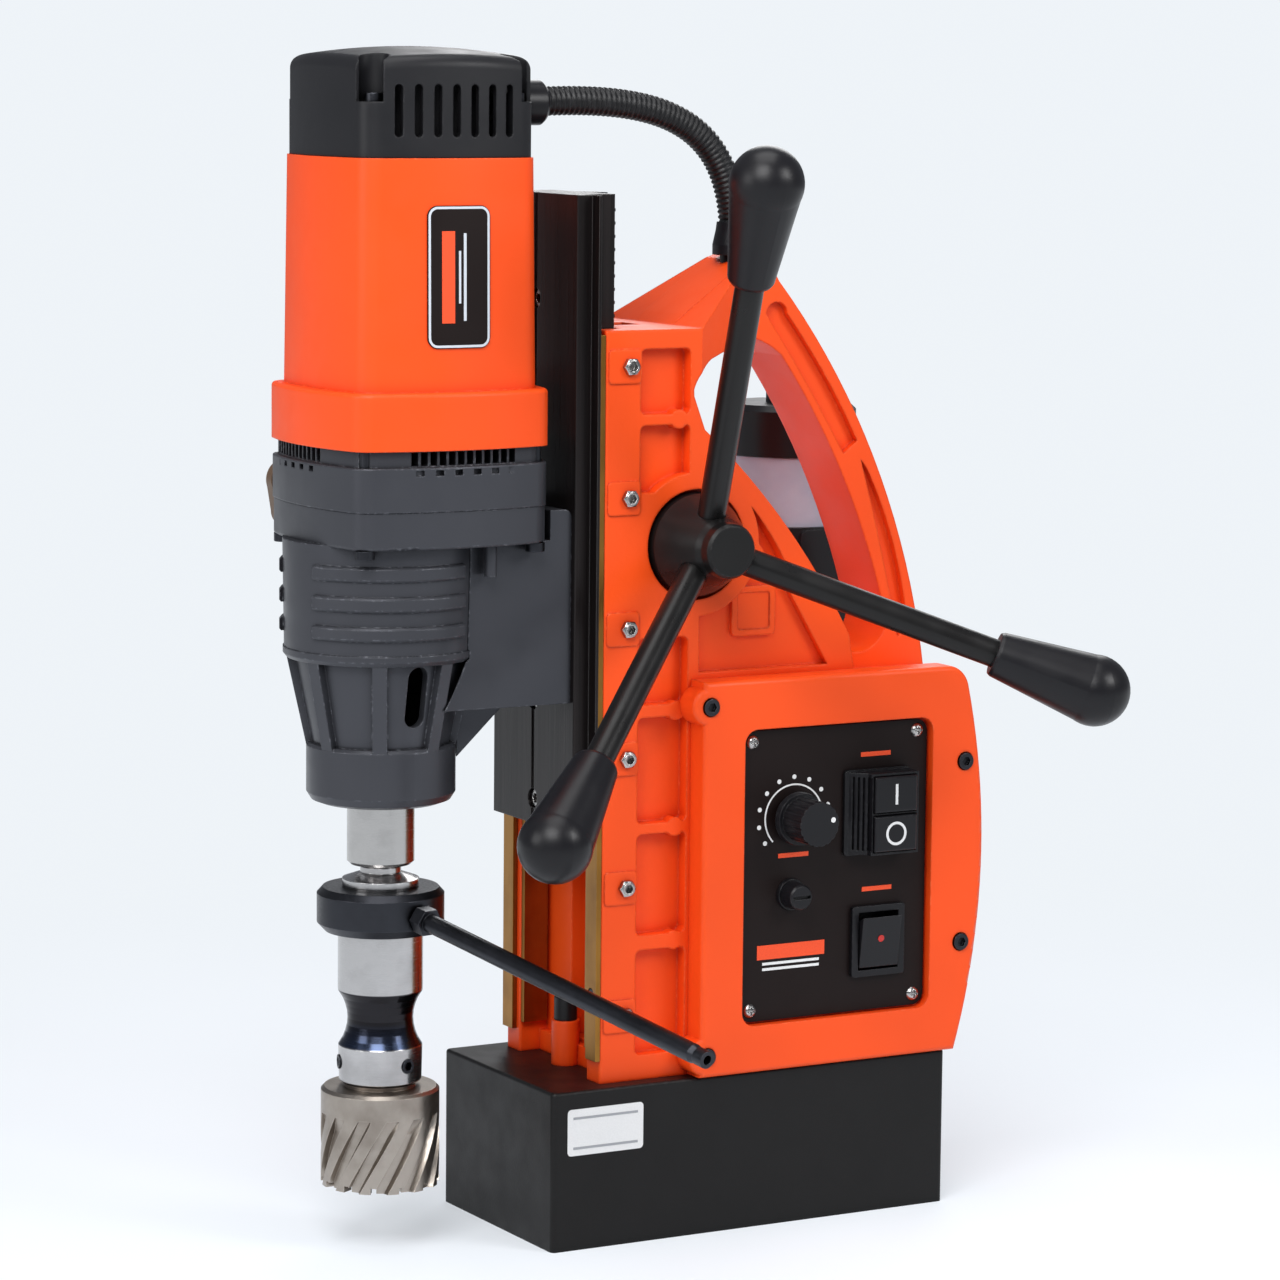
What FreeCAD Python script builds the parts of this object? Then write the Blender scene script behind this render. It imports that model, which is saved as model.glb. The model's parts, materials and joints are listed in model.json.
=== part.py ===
import FreeCAD, Part
import math
import os

# Magnetic drill press. Millimetres, +Z up. The origin is the centre of the magnet's
# underside. The drill hangs on the -Y side and the control panel faces +X.

V = FreeCAD.Vector
X_AXIS = V(1, 0, 0)
Y_AXIS = V(0, 1, 0)
Z_AXIS = V(0, 0, 1)

# Driving dimensions
BASE_LENGTH = 220.0
BASE_WIDTH = 113.0
BASE_TOP = 77.0
CHEEK_X = 47.5                 # outer faces of the cast frame
CHEEK_INNER_X = 34.0
FRAME_FRONT_Y = -80.0
FRAME_TOP = 436.0
SPINDLE_Y = -173.0
MOTOR_Y = -159.0
SLIDE_BOTTOM = 197.0
SLIDE_TOP = 499.0
HUB_Y = -30.0                  # axis of the feed handle
HUB_Z = 333.5
PINION_MODULE = 2.0
PINION_TEETH = 25
PANEL_X = 57.0                 # front of the control panel
RUN_GAP = 0.05                 # radial clearance of running fits
SEAT_GAP = 0.3                 # clearance round loosely seated parts

PITCH_R = PINION_MODULE * PINION_TEETH / 2
RACK_PITCH_Y = HUB_Y - PITCH_R


# ---------------------------------------------------------------- basic shapes

def box(x, y, z):
    """A block from three (low, high) pairs."""
    return Part.makeBox(x[1] - x[0], y[1] - y[0], z[1] - z[0], V(x[0], y[0], z[0]))


def rod(radius, start, end):
    """A round bar between two points."""
    start = V(*start)
    along = V(*end).sub(start)
    return Part.makeCylinder(radius, along.Length, start, along)


def tube(outer, inner, start, end):
    return rod(outer, start, end).cut(rod(inner, start, end))


def taper(radius_a, radius_b, start, end):
    start = V(*start)
    along = V(*end).sub(start)
    return Part.makeCone(radius_a, radius_b, along.Length, start, along)


def ball(radius, centre):
    return Part.makeSphere(radius, V(*centre))


def union(shapes):
    whole = shapes[0]
    if len(shapes) > 1:
        whole = whole.fuse(shapes[1:])
    return whole.removeSplitter()


def mirror_x(shape):
    return shape.mirror(V(0, 0, 0), X_AXIS)


def both_sides(shape):
    return union([shape, mirror_x(shape)])


def slab_yz(points, x):
    """A plate cut from (y, z) points, between two x values."""
    wire = Part.makePolygon([V(x[0], y, z) for y, z in points + points[:1]])
    return Part.Face(wire).extrude(V(x[1] - x[0], 0, 0))


def slab_xy(points, z):
    """A plate cut from (x, y) points, between two z values."""
    wire = Part.makePolygon([V(x, y, z[0]) for x, y in points + points[:1]])
    return Part.Face(wire).extrude(V(0, 0, z[1] - z[0]))


def turned(profile, centre_y, centre_x=0.0):
    """A turned part on a vertical axis from (radius, z) points."""
    points = [V(centre_x + r, centre_y, z) for r, z in profile]
    face = Part.Face(Part.makePolygon(points + points[:1]))
    return face.revolve(V(centre_x, centre_y, 0), Z_AXIS, 360)


def turned_x(profile, y, z):
    """A turned part on an axis along X from (x, radius) points."""
    points = [V(x, y, z + r) for x, r in profile]
    face = Part.Face(Part.makePolygon(points + points[:1]))
    return face.revolve(V(0, y, z), X_AXIS, 360)


def edges_along(shape, axis, wanted=None):
    """Straight edges parallel to an axis, kept when wanted(centre) is true."""
    found = []
    for edge in shape.Edges:
        if edge.Curve.TypeId != "Part::GeomLine":
            continue
        way = edge.tangentAt(edge.FirstParameter)
        if abs(abs(way.dot(axis)) - 1) < 1e-6:
            if wanted is None or wanted(edge.CenterOfMass):
                found.append(edge)
    return found


def round_edges(shape, axis, radius, wanted=None):
    return shape.makeFillet(radius, edges_along(shape, axis, wanted))


def round_box(x, y, z, axis, radius):
    """A block whose four edges along one axis are rounded."""
    return round_edges(box(x, y, z), axis, radius)


def slot_x(y, z, half_width, x):
    """An upright round-ended slot cut along X, z = (low, high)."""
    low, high = z[0] + half_width, z[1] - half_width
    parts = [box(x, (y - half_width, y + half_width), (low, high))]
    for level in (low, high):
        parts.append(rod(half_width, (x[0], y, level), (x[1], y, level)))
    return union(parts)


# ------------------------------------------------------------------- fasteners

def hex_prism(across_flats, start, way, depth):
    start, way = V(*start), V(*way)
    side = way.cross(Z_AXIS)
    if side.Length < 0.1:
        side = V(1, 0, 0)
    side.normalize()
    up = way.cross(side)
    radius = across_flats / math.sqrt(3)
    points = []
    for k in range(7):
        turn = math.radians(60 * k)
        points.append(start + side * (radius * math.cos(turn)) + up * (radius * math.sin(turn)))
    return Part.Face(Part.makePolygon(points)).extrude(way * depth)


def socket_screw(seat, way, thread_r, length, head_r=None, head_h=None):
    """A socket-head screw; way points out of the head, seat is under the head."""
    head_r = head_r or thread_r * 1.65
    head_h = head_h or thread_r * 1.6
    seat, way = V(*seat), V(*way)
    head = Part.makeCylinder(head_r, head_h, seat, way)
    head = head.makeFillet(head_h * 0.12, [e for e in head.Edges if e.Curve.TypeId ==
                                           "Part::GeomCircle" and
                                           (e.CenterOfMass - seat).Length > head_h * 0.9])
    shank = Part.makeCylinder(thread_r, length, seat, way * -1)
    socket_depth = head_h * 0.6
    socket = hex_prism(head_r * 1.0, seat + way * (head_h - socket_depth), way, socket_depth)
    return head.fuse(shank).cut(socket)


def pan_screw(seat, way, thread_r, length, head_r, head_h):
    """A domed screw with a cross recess."""
    seat, way = V(*seat), V(*way)
    dome_r = (head_r ** 2 + head_h ** 2) / (2 * head_h)
    dome = Part.makeSphere(dome_r, seat + way * (head_h - dome_r))
    head = dome.common(Part.makeCylinder(head_r, head_h + 1, seat, way))
    screw = head.fuse(Part.makeCylinder(thread_r, length, seat, way * -1))
    for flat_way in (V(0, 1, 0), V(0, 0, 1)):
        across = way.cross(flat_way)
        cut = Part.makeBox(head_r * 1.1, head_r * 0.28, head_h, V(-head_r * 0.55, -head_r * 0.14, 0))
        turn = FreeCAD.Rotation(flat_way, across, way, "ZXY")
        cut.Placement = FreeCAD.Placement(seat + way * (head_h * 0.45), turn)
        screw = screw.cut(cut)
    return screw


# ---------------------------------------------------------------------- magnet

COIL_OUTER = (40.0, 92.0)      # half width and half length of the coil groove
COIL_INNER = (20.0, 72.0)
COIL_TOP = 48.0
POTTING_TOP = 8.0
BASE_BOLT_X = 30.0
BASE_BOLT_YS = (-8.0, 92.0)
BASE_BOLT_R = 4.0
FOOT_TOP = 89.0                # floor of the electronics cavity


def racetrack(grow, z):
    """The ring-shaped coil space, shrunk by grow on every wall."""
    outer_x, outer_y = COIL_OUTER[0] - grow, COIL_OUTER[1] - grow
    inner_x, inner_y = COIL_INNER[0] + grow, COIL_INNER[1] + grow
    outer = round_box((-outer_x, outer_x), (-outer_y, outer_y), z, Z_AXIS, 18 - grow)
    inner = round_box((-inner_x, inner_x), (-inner_y, inner_y), z, Z_AXIS, 6 + grow)
    return outer.cut(inner)


def magnet_body():
    half_x, half_y = BASE_WIDTH / 2, BASE_LENGTH / 2
    body = round_box((-half_x, half_x), (-half_y, half_y), (0, BASE_TOP), Z_AXIS, 2.5)
    top_edges = [e for e in body.Edges if abs(e.CenterOfMass.z - BASE_TOP) < 1e-6]
    body = body.makeFillet(1.5, top_edges)
    body = body.cut(racetrack(0, (0, COIL_TOP)))
    for bolt_x in (-BASE_BOLT_X, BASE_BOLT_X):
        for bolt_y in BASE_BOLT_YS:
            body = body.cut(rod(BASE_BOLT_R, (bolt_x, bolt_y, 57), (bolt_x, bolt_y, BASE_TOP)))
    return body


def magnet_coil():
    return racetrack(1.0, (POTTING_TOP, COIL_TOP - 1))


def magnet_potting():
    return racetrack(0, (0.5, POTTING_TOP))


def base_bolts():
    bolts = []
    for bolt_x in (-BASE_BOLT_X, BASE_BOLT_X):
        for bolt_y in BASE_BOLT_YS:
            bolts.append(socket_screw((bolt_x, bolt_y, FOOT_TOP), Z_AXIS, BASE_BOLT_R - 0.1, 31))
    return Part.makeCompound(bolts)


# --------------------------------------------------------------- cast frame

WALL_FRONT_Y = -65.0           # back of the slide channel
COLUMN_BACK_Y = -33.0
BOX_BACK_Y = 119.0
BOX_TOP = 264.0
ARM_X = 19.0                   # half thickness of the carrying handle
APEX = (18.0, 468.0)
HUB_RECESS_R = 26.5
POCKET_DEPTH = 7.0
WEB_POCKET_DEPTH = 4.0
POCKET_Y = (-61.0, -34.0)
GIB_SCREW_Y = -67.0
GIB_SCREW_PITCH = 62.0
GIB_SCREW_LOW = 109.0
GIB_SCREW_COUNT = 6
COVER_SEAT_X = 47.5
CAVITY_Y = (-18.0, 110.0)
CAVITY_Z = (FOOT_TOP, 256.0)
COVER_SCREWS = ((-28.6, 257.0), (116.0, 221.5), (115.0, 131.5), (-28.6, 87.5))
STRIP_Z = (88.0, 434.0)
STRIP_FRONT_Y = -82.5
STRIP_INNER_X = 37.5
STRIP_SCREW_ZS = (120.0, 200.0, 290.0, 380.0)
SHAFT_R = 9.0
BUSH_R = 12.0
BUMPER_Y = -73.0
BUMPER_SEAT_Z = 99.0
TANK_BOLT_Y = 100.0
TANK_BOLT_ZS = (215.0, 245.0)
CONDUIT_R = 7.0
CONDUIT_END_Z = 469.5


def arc_face(steps, x):
    """A face in a YZ plane from points; a (point, point) pair is an arc's middle and end."""
    edges = []
    here = V(x, *steps[0])
    for step in steps[1:]:
        if isinstance(step[0], tuple):
            middle, end = V(x, *step[0]), V(x, *step[1])
            edges.append(Part.Arc(here, middle, end).toShape())
        else:
            end = V(x, *step)
            edges.append(Part.makeLine(here, end))
        here = end
    return Part.Face(Part.Wire(edges))


def arc_slab(steps, x):
    return arc_face(steps, x[0]).extrude(V(x[1] - x[0], 0, 0))


def handle_arch():
    """The carrying handle: outer silhouette less the hand hole."""
    outer = [(-40, 100), (-40, FRAME_TOP - 10), (-22, 441), (12, 466), APEX,
             ((24, 464.5), (31, 456)), ((85, 372), (BOX_BACK_Y - 1, BOX_TOP - 4)),
             (BOX_BACK_Y - 1, 100), (-40, 100)]
    arch = arc_slab(outer, (-ARM_X, ARM_X))
    hole = [(-32, 404), ((-25, 419), (-12, 427)), ((12, 430), (33, 420)),
            ((70, 358), (92, 300)), ((89, 276), (66, 278)), ((24, 335), (-26, 388)),
            (-32, 404)]
    return arch.cut(arc_slab(hole, (-ARM_X - 1, ARM_X + 1)))


def web():
    """The thick web that carries the feed shaft, from the column down to the box."""
    outline = [(-50, 90), (-50, 430), (COLUMN_BACK_Y, 430), (-32, 404), (-26, 388),
               ((24, 335), (56, 286)), (60, BOX_TOP), (60, 90), (-50, 90)]
    return arc_slab(outline, (-CHEEK_X, CHEEK_X))


def ramp_block():
    """The top of the casting, which narrows from the column to the handle."""
    plan = [(-CHEEK_X, COLUMN_BACK_Y), (CHEEK_X, COLUMN_BACK_Y), (CHEEK_X, -28),
            (ARM_X, 12), (-ARM_X, 12), (-CHEEK_X, -28)]
    block = slab_xy(plan, (390, 470))
    side = arc_slab([(-40, 398), (-32.8, 398), ((-30, 412), (-19, 421)), (12, 428), (12, 466),
                     (-28, FRAME_TOP), (-40, FRAME_TOP), (-40, 398)], (-60, 60))
    return block.common(side)


def column():
    block = box((-CHEEK_X, CHEEK_X), (FRAME_FRONT_Y, COLUMN_BACK_Y), (BASE_TOP, FRAME_TOP))
    channel = box((-CHEEK_INNER_X, CHEEK_INNER_X), (FRAME_FRONT_Y - 1, WALL_FRONT_Y),
                  (BASE_TOP - 1, FRAME_TOP + 1))
    return round_edges(block.cut(channel), Z_AXIS, 1.2, lambda c: c.y < FRAME_FRONT_Y + 1)


def side_pockets():
    """Shallow pockets between the ribs of one cheek, for both cheeks."""
    ribs_between = ((396, 427), (359, 391), (258, 290), (201, 252), (147, 196), (89, 140))
    cutters = []
    for low, high in ribs_between:
        pocket = round_box((CHEEK_X - POCKET_DEPTH, CHEEK_X + 5), POCKET_Y, (low, high), X_AXIS, 3)
        cutters.append(pocket)
    lower_web = slab_yz([(-28, 272), (44, 272), (14, 322), (-4, 330), (-28, 330)],
                        (CHEEK_X - WEB_POCKET_DEPTH, CHEEK_X + 5))
    upper_web = arc_slab([(-16, 366), ((4, 346), (22, 318)), (15, 316), ((0, 338), (-20, 356)),
                          (-16, 366)], (CHEEK_X - POCKET_DEPTH, CHEEK_X + 5))
    cutters += [lower_web, upper_web]
    boss = rod(HUB_RECESS_R + 8, (0, HUB_Y, HUB_Z), (70, HUB_Y, HUB_Z))
    return union(cutters).cut(boss)


def rib_bosses():
    """Small round bosses where the cast ribs cross the pocket row."""
    bosses = []
    for z in (393.5, 254.5, 198.5, 143.5):
        bosses.append(rod(4.5, (CHEEK_X - POCKET_DEPTH, -40, z), (CHEEK_X, -40, z)))
    return union(bosses)


def blank_badge():
    """A square pad with a sunk face in the web's pocket, on the +X cheek."""
    floor = CHEEK_X - WEB_POCKET_DEPTH
    pad = round_box((floor, floor + 2.5), (-9, 15), (288, 312), X_AXIS, 2.5)
    return pad.cut(round_box((floor + 1.7, floor + 3), (-6, 12), (291, 309), X_AXIS, 1.5))


def arm_recesses():
    """Long recesses on the flanks of the carrying handle."""
    depth = (ARM_X - 4, ARM_X + 1)
    upper = arc_slab([(24, 440), ((30, 446), (36, 440)), ((57, 411), (77, 377)), (69, 371),
                      ((48, 405), (24, 440))], depth)
    lower = arc_slab([(79, 368), (83, 363), ((99, 325), (108, 282)), (102, 279),
                      ((92, 322), (79, 368))], depth)
    return union([upper, lower])


def gib_screw_heights():
    return [GIB_SCREW_LOW + GIB_SCREW_PITCH * k for k in range(GIB_SCREW_COUNT)]


def cheek_lands():
    """Raised lands round the gib screws on the +X cheek."""
    lands = []
    for z in gib_screw_heights():
        land = box((CHEEK_X, CHEEK_X + 0.8), (FRAME_FRONT_Y + 1.5, -61), (z - 8, z + 8))
        lands.append(round_edges(land, X_AXIS, 2))
    return union(lands)


def frame_casting():
    foot = box((-CHEEK_X, CHEEK_X), (COLUMN_BACK_Y - 2, BOX_BACK_Y), (BASE_TOP, BOX_TOP))
    foot = round_edges(foot, X_AXIS, 8, lambda c: c.y > 50 and c.z > 200)
    foot = round_edges(foot, Z_AXIS, 5, lambda c: c.y > 50)
    bumper_seat = rod(6.8, (0, BUMPER_Y, BASE_TOP), (0, BUMPER_Y, BUMPER_SEAT_Z))
    bumper_shelf = box((-CHEEK_INNER_X, CHEEK_INNER_X), (WALL_FRONT_Y - 4, WALL_FRONT_Y),
                       (BASE_TOP, BASE_TOP + 10))
    casting = union([column(), web(), handle_arch(), ramp_block(), foot, bumper_seat,
                     bumper_shelf])
    pockets = side_pockets()
    casting = casting.cut([pockets, mirror_x(pockets), arm_recesses(), mirror_x(arm_recesses())])
    casting = union([casting, rib_bosses(), mirror_x(rib_bosses()), cheek_lands(), blank_badge()])
    cuts = [box((-41, COVER_SEAT_X + 1), CAVITY_Y, CAVITY_Z)]
    cuts.append(box((-RACK_X - 2, RACK_X + 2), (WALL_FRONT_Y - 1, -40),
                    (BASE_TOP + 12, FRAME_TOP + 40)))
    cuts.append(rod(PITCH_R + PINION_MODULE + 2, (-14, HUB_Y, HUB_Z), (14, HUB_Y, HUB_Z)))
    cuts.append(rod(BUSH_R, (-60, HUB_Y, HUB_Z), (60, HUB_Y, HUB_Z)))
    cuts.append(rod(HUB_RECESS_R, (40, HUB_Y, HUB_Z), (60, HUB_Y, HUB_Z)))
    cuts.append(rod(3, (0, BUMPER_Y, BASE_TOP + 6), (0, BUMPER_Y, BUMPER_SEAT_Z + 1)))
    for z in gib_screw_heights():
        cuts.append(rod(3, (30, GIB_SCREW_Y, z), (55, GIB_SCREW_Y, z)))
    for side in (-1, 1):
        for z in STRIP_SCREW_ZS:
            cuts.append(rod(1.5, (side * 42.5, -81, z), (side * 42.5, -70, z)))
    for y, z in COVER_SCREWS:
        cuts.append(rod(2.5, (30, y, z), (60, y, z)))
    for bolt_x in (-BASE_BOLT_X, BASE_BOLT_X):
        for bolt_y in BASE_BOLT_YS:
            cuts.append(rod(4.5, (bolt_x, bolt_y, BASE_TOP - 1), (bolt_x, bolt_y, FOOT_TOP + 1)))
    cuts.append(rod(6.5, (0, APEX[0] - 2, 440), (0, APEX[0] - 2, 480)))
    for z in TANK_BOLT_ZS:
        cuts.append(rod(3, (-50, TANK_BOLT_Y, z), (-40.5, TANK_BOLT_Y, z)))
    return casting.cut(cuts)


def gib_strips():
    """The two brass wear strips screwed to the fronts of the cheeks."""
    strip = box((STRIP_INNER_X, CHEEK_X), (STRIP_FRONT_Y, FRAME_FRONT_Y), STRIP_Z)
    for z in STRIP_SCREW_ZS:
        strip = strip.cut(rod(1.5, (42.5, -90, z), (42.5, -70, z)))
        strip = strip.cut(rod(3.0, (42.5, -90, z), (42.5, STRIP_FRONT_Y + 1.4, z)))
    return Part.makeCompound([strip, mirror_x(strip)])


def gib_strip_screws():
    screws = []
    for side in (-1, 1):
        for z in STRIP_SCREW_ZS:
            seat = (side * 42.5, STRIP_FRONT_Y + 1.4, z)
            screws.append(socket_screw(seat, (0, -1, 0), 1.4, 8, 2.6, 1.2))
    return Part.makeCompound(screws)


def side_gibs():
    """The brass gibs inside the cheeks that the set screws push on the slide."""
    gib = box((SLIDE_HALF + RUN_GAP, CHEEK_INNER_X), (-79.5, -66.5), (BASE_TOP + 15, 430))
    return Part.makeCompound([gib, mirror_x(gib)])


def gib_set_screws():
    screws = []
    for z in gib_screw_heights():
        screw = rod(2.9, (CHEEK_INNER_X, GIB_SCREW_Y, z), (51.5, GIB_SCREW_Y, z))
        nut = hex_prism(7.5, (CHEEK_X + 0.8, GIB_SCREW_Y, z), (1, 0, 0), 2.8)
        nut = nut.common(turned_x([(48, 0), (48, 4.3), (50.4, 4.3), (51.1, 3.4), (51.1, 0)],
                                  GIB_SCREW_Y, z))
        screw = screw.fuse(nut).cut(hex_prism(4, (48.5, GIB_SCREW_Y, z), (1, 0, 0), 4))
        screws.append(screw)
    return Part.makeCompound(screws)


def slide_bumper():
    pin = rod(2.9, (0, BUMPER_Y, BASE_TOP + 8), (0, BUMPER_Y, BUMPER_SEAT_Z))
    pad = turned([(0, BUMPER_SEAT_Z), (5.6, BUMPER_SEAT_Z), (5.6, 110), (4.6, 112), (0, 112)],
                 BUMPER_Y)
    return pin.fuse(pad)


def pinion_bushes():
    bushes = []
    for ends in ((-CHEEK_X, -14.5), (14.5, 40)):
        bushes.append(tube(BUSH_R, SHAFT_R + RUN_GAP, (ends[0], HUB_Y, HUB_Z),
                           (ends[1], HUB_Y, HUB_Z)))
    return Part.makeCompound(bushes)


def frame_gland():
    """The screwed gland in the top of the handle where the conduit enters."""
    y = APEX[0] - 2
    shoulder = APEX[1] + 0.1
    body = turned([(0, 446), (6.4, 446), (6.4, shoulder), (10, shoulder), (10, 473), (8.5, 480),
                   (8, 484), (0, 484)], y)
    wire_way = rod(4.5, (0, y, 440), (0, y, 470))
    socket = rod(CONDUIT_R + 0.1, (0, y, CONDUIT_END_Z - 0.5), (0, y, 490))
    return body.cut([wire_way, socket])


# ------------------------------------------------------- cover and controls

COVER_X = 61.0
COVER_INNER_X = 53.0
COVER_BACK = ((113.0, 77.3), (127.5, 185.0), (115.6, 269.0))
PANEL_Y = (-8.3, 95.9)
PANEL_Z = (101.5, 243.5)
PANEL_THICK = 2.0
PANEL_SCREWS = ((-3, 238), (90, 238), (-3, 107), (90, 107))
KNOB_AT = (20.4, 200.0)
FUSE_AT = (19.0, 162.5)
MOTOR_SWITCH_Y = (49.0, 84.0)
MOTOR_SWITCH_Z = (180.0, 220.0)
BUTTON_Y = (58.5, 82.5)
MAGNET_SWITCH_Y = (53.2, 83.2)
MAGNET_SWITCH_Z = (118.5, 153.5)
ROCKER_Y = (57.2, 79.2)
ROCKER_Z = (122.5, 149.5)
SWITCH_FACE_X = 69.0
ROCKER_AXIS_X = 55.0


def electronics_cover():
    low, mid, high = COVER_BACK
    outline = [(-32, low[1]), low, (mid, high), (-32, high[1]), (-32, low[1])]
    cover = arc_slab(outline, (COVER_SEAT_X, COVER_X))
    cover = round_edges(cover, X_AXIS, 13, lambda c: c.y > 110 and c.z > 260)
    lobes = [rod(9.5, (COVER_SEAT_X, y, z), (COVER_X, y, z))
             for y, z in (COVER_SCREWS[0], COVER_SCREWS[3])]
    cover = union([cover] + lobes)
    front_edges = [e for e in cover.Edges if abs(e.CenterOfMass.x - COVER_X) < 1e-6]
    cover = cover.makeFillet(2.5, front_edges)
    window = round_box((PANEL_X - PANEL_THICK, COVER_X + 1),
                       (PANEL_Y[0] - 1.2, PANEL_Y[1] + 1.2),
                       (PANEL_Z[0] - 1.2, PANEL_Z[1] + 1.2), X_AXIS, 7)
    inside = round_box((COVER_SEAT_X - 1, COVER_INNER_X), (-14, 104), (94, 251), X_AXIS, 6)
    opening = box((COVER_INNER_X - 1, PANEL_X), (4, 88), (114, 226))
    cover = cover.cut([window, inside, opening])
    for y, z in COVER_SCREWS:
        cover = cover.cut(rod(2.6, (40, y, z), (70, y, z)))
        cover = cover.cut(rod(4.6, (COVER_X - 2, y, z), (70, y, z)))
    for y, z in PANEL_SCREWS:
        cover = cover.cut(rod(1.5, (48, y, z), (70, y, z)))
    return cover


def cover_screws():
    return Part.makeCompound([socket_screw((COVER_X - 2, y, z), (1, 0, 0), 2.4, 20, 4.2, 3.2)
                              for y, z in COVER_SCREWS])


def control_panel():
    plate = round_box((PANEL_X - PANEL_THICK, PANEL_X), PANEL_Y, PANEL_Z, X_AXIS, 6)
    cuts = [rod(1.6, (50, y, z), (60, y, z)) for y, z in PANEL_SCREWS]
    cuts.append(rod(3.6, (50, *KNOB_AT), (60, *KNOB_AT)))
    cuts.append(rod(6.1, (50, *FUSE_AT), (60, *FUSE_AT)))
    cuts.append(box((50, 60), (MOTOR_SWITCH_Y[0] + 2, MOTOR_SWITCH_Y[1] - 2),
                    (MOTOR_SWITCH_Z[0] + 2, MOTOR_SWITCH_Z[1] - 2)))
    cuts.append(box((50, 60), (MAGNET_SWITCH_Y[0] + 2, MAGNET_SWITCH_Y[1] - 2),
                    (MAGNET_SWITCH_Z[0] + 2, MAGNET_SWITCH_Z[1] - 2)))
    return plate.cut(cuts)


def panel_screws():
    return Part.makeCompound([pan_screw((PANEL_X, y, z), (1, 0, 0), 1.4, 6, 3.6, 2.2)
                              for y, z in PANEL_SCREWS])


def speed_control_body():
    can = rod(8, (40, *KNOB_AT), (52, *KNOB_AT))
    neck = rod(3.5, (52, *KNOB_AT), (PANEL_X + 3, *KNOB_AT))
    nut = hex_prism(11, (PANEL_X, *KNOB_AT), (1, 0, 0), 2)
    return union([can, neck, nut]).cut(rod(2.0, (45, *KNOB_AT), (70, *KNOB_AT)))


def speed_knob():
    """A long fluted knob on a round skirt."""
    low = PANEL_X + 3.5
    grip_low, high = low + 4, low + 20.5
    skirt = turned_x([(low, 0), (low, 12.6), (low + 1, 13.1), (grip_low, 12.6), (grip_low, 0)],
                     *KNOB_AT)
    hollow = rod(9, (low - 1, *KNOB_AT), (low + 2.5, *KNOB_AT))
    grip = rod(10.8, (grip_low, *KNOB_AT), (high, *KNOB_AT))
    flutes = 18
    for k in range(flutes):
        turn = 2 * math.pi * (k + 0.5) / flutes
        y = KNOB_AT[0] + 11.6 * math.cos(turn)
        z = KNOB_AT[1] + 11.6 * math.sin(turn)
        grip = grip.cut(rod(1.2, (grip_low - 1, y, z), (high + 1, y, z)))
    stem = rod(1.9, (48, *KNOB_AT), (low + 5, *KNOB_AT))
    return union([skirt.cut(hollow), grip, stem])


def fuse_holder_body():
    sleeve = rod(6, (38, *FUSE_AT), (PANEL_X, *FUSE_AT))
    flange = turned_x([(PANEL_X, 0), (PANEL_X, 8), (PANEL_X + 2, 7.5), (PANEL_X + 2, 0)],
                      *FUSE_AT)
    return sleeve.fuse(flange).cut(rod(4.5, (42, *FUSE_AT), (70, *FUSE_AT)))


def fuse_cap():
    cap = turned_x([(44, 0), (44, 4.4), (PANEL_X + 2.1, 4.4), (PANEL_X + 2.1, 6.8),
                    (PANEL_X + 10, 6.2), (PANEL_X + 11, 5.4), (PANEL_X + 11, 0)], *FUSE_AT)
    y, z = FUSE_AT
    slot = box((PANEL_X + 9.4, PANEL_X + 12), (y - 5, y + 5), (z - 0.8, z + 0.8))
    return cap.cut(slot)


def motor_switch_body():
    """The no-volt release switch: a tall housing with two button wells."""
    plate = round_box((PANEL_X, PANEL_X + 2), (MOTOR_SWITCH_Y[0] - 1, MOTOR_SWITCH_Y[1] + 1),
                      (MOTOR_SWITCH_Z[0] - 1, MOTOR_SWITCH_Z[1] + 1), X_AXIS, 2)
    back = box((36, PANEL_X), (MOTOR_SWITCH_Y[0] + 2.5, MOTOR_SWITCH_Y[1] - 2.5),
               (MOTOR_SWITCH_Z[0] + 2.5, MOTOR_SWITCH_Z[1] - 2.5))
    housing = box((PANEL_X, SWITCH_FACE_X), (BUTTON_Y[0] - 1.5, MOTOR_SWITCH_Y[1]),
                  MOTOR_SWITCH_Z)
    step = slab_xy([(PANEL_X + 2, MOTOR_SWITCH_Y[0] + 1), (SWITCH_FACE_X - 3, BUTTON_Y[0] - 1.5),
                    (PANEL_X + 2, BUTTON_Y[0] - 1.5)], MOTOR_SWITCH_Z)
    body = union([plate, back, housing, step])
    for k in range(4):
        y = MOTOR_SWITCH_Y[0] + 2.5 + 1.8 * k
        body = body.cut(box((PANEL_X + 2.6 + 1.8 * k, SWITCH_FACE_X + 1), (y, y + 0.7),
                            (MOTOR_SWITCH_Z[0] + 2, MOTOR_SWITCH_Z[1] - 2)))
    for z in button_spans():
        body = body.cut(box((PANEL_X + 1, 80), (BUTTON_Y[0] - 0.4, BUTTON_Y[1] + 0.4),
                            (z[0] - 0.4, z[1] + 0.4)))
    return body


def button_spans():
    middle = (MOTOR_SWITCH_Z[0] + MOTOR_SWITCH_Z[1]) / 2
    low = (MOTOR_SWITCH_Z[0] + 1.6, middle - 0.8)
    high = (middle + 0.8, MOTOR_SWITCH_Z[1] - 1.6)
    return low, high


def push_button(z, face_x):
    button = box((PANEL_X + 5, face_x), BUTTON_Y, z)
    return button.makeFillet(1.0, [e for e in button.Edges
                                   if abs(e.CenterOfMass.x - face_x) < 1e-6])


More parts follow.
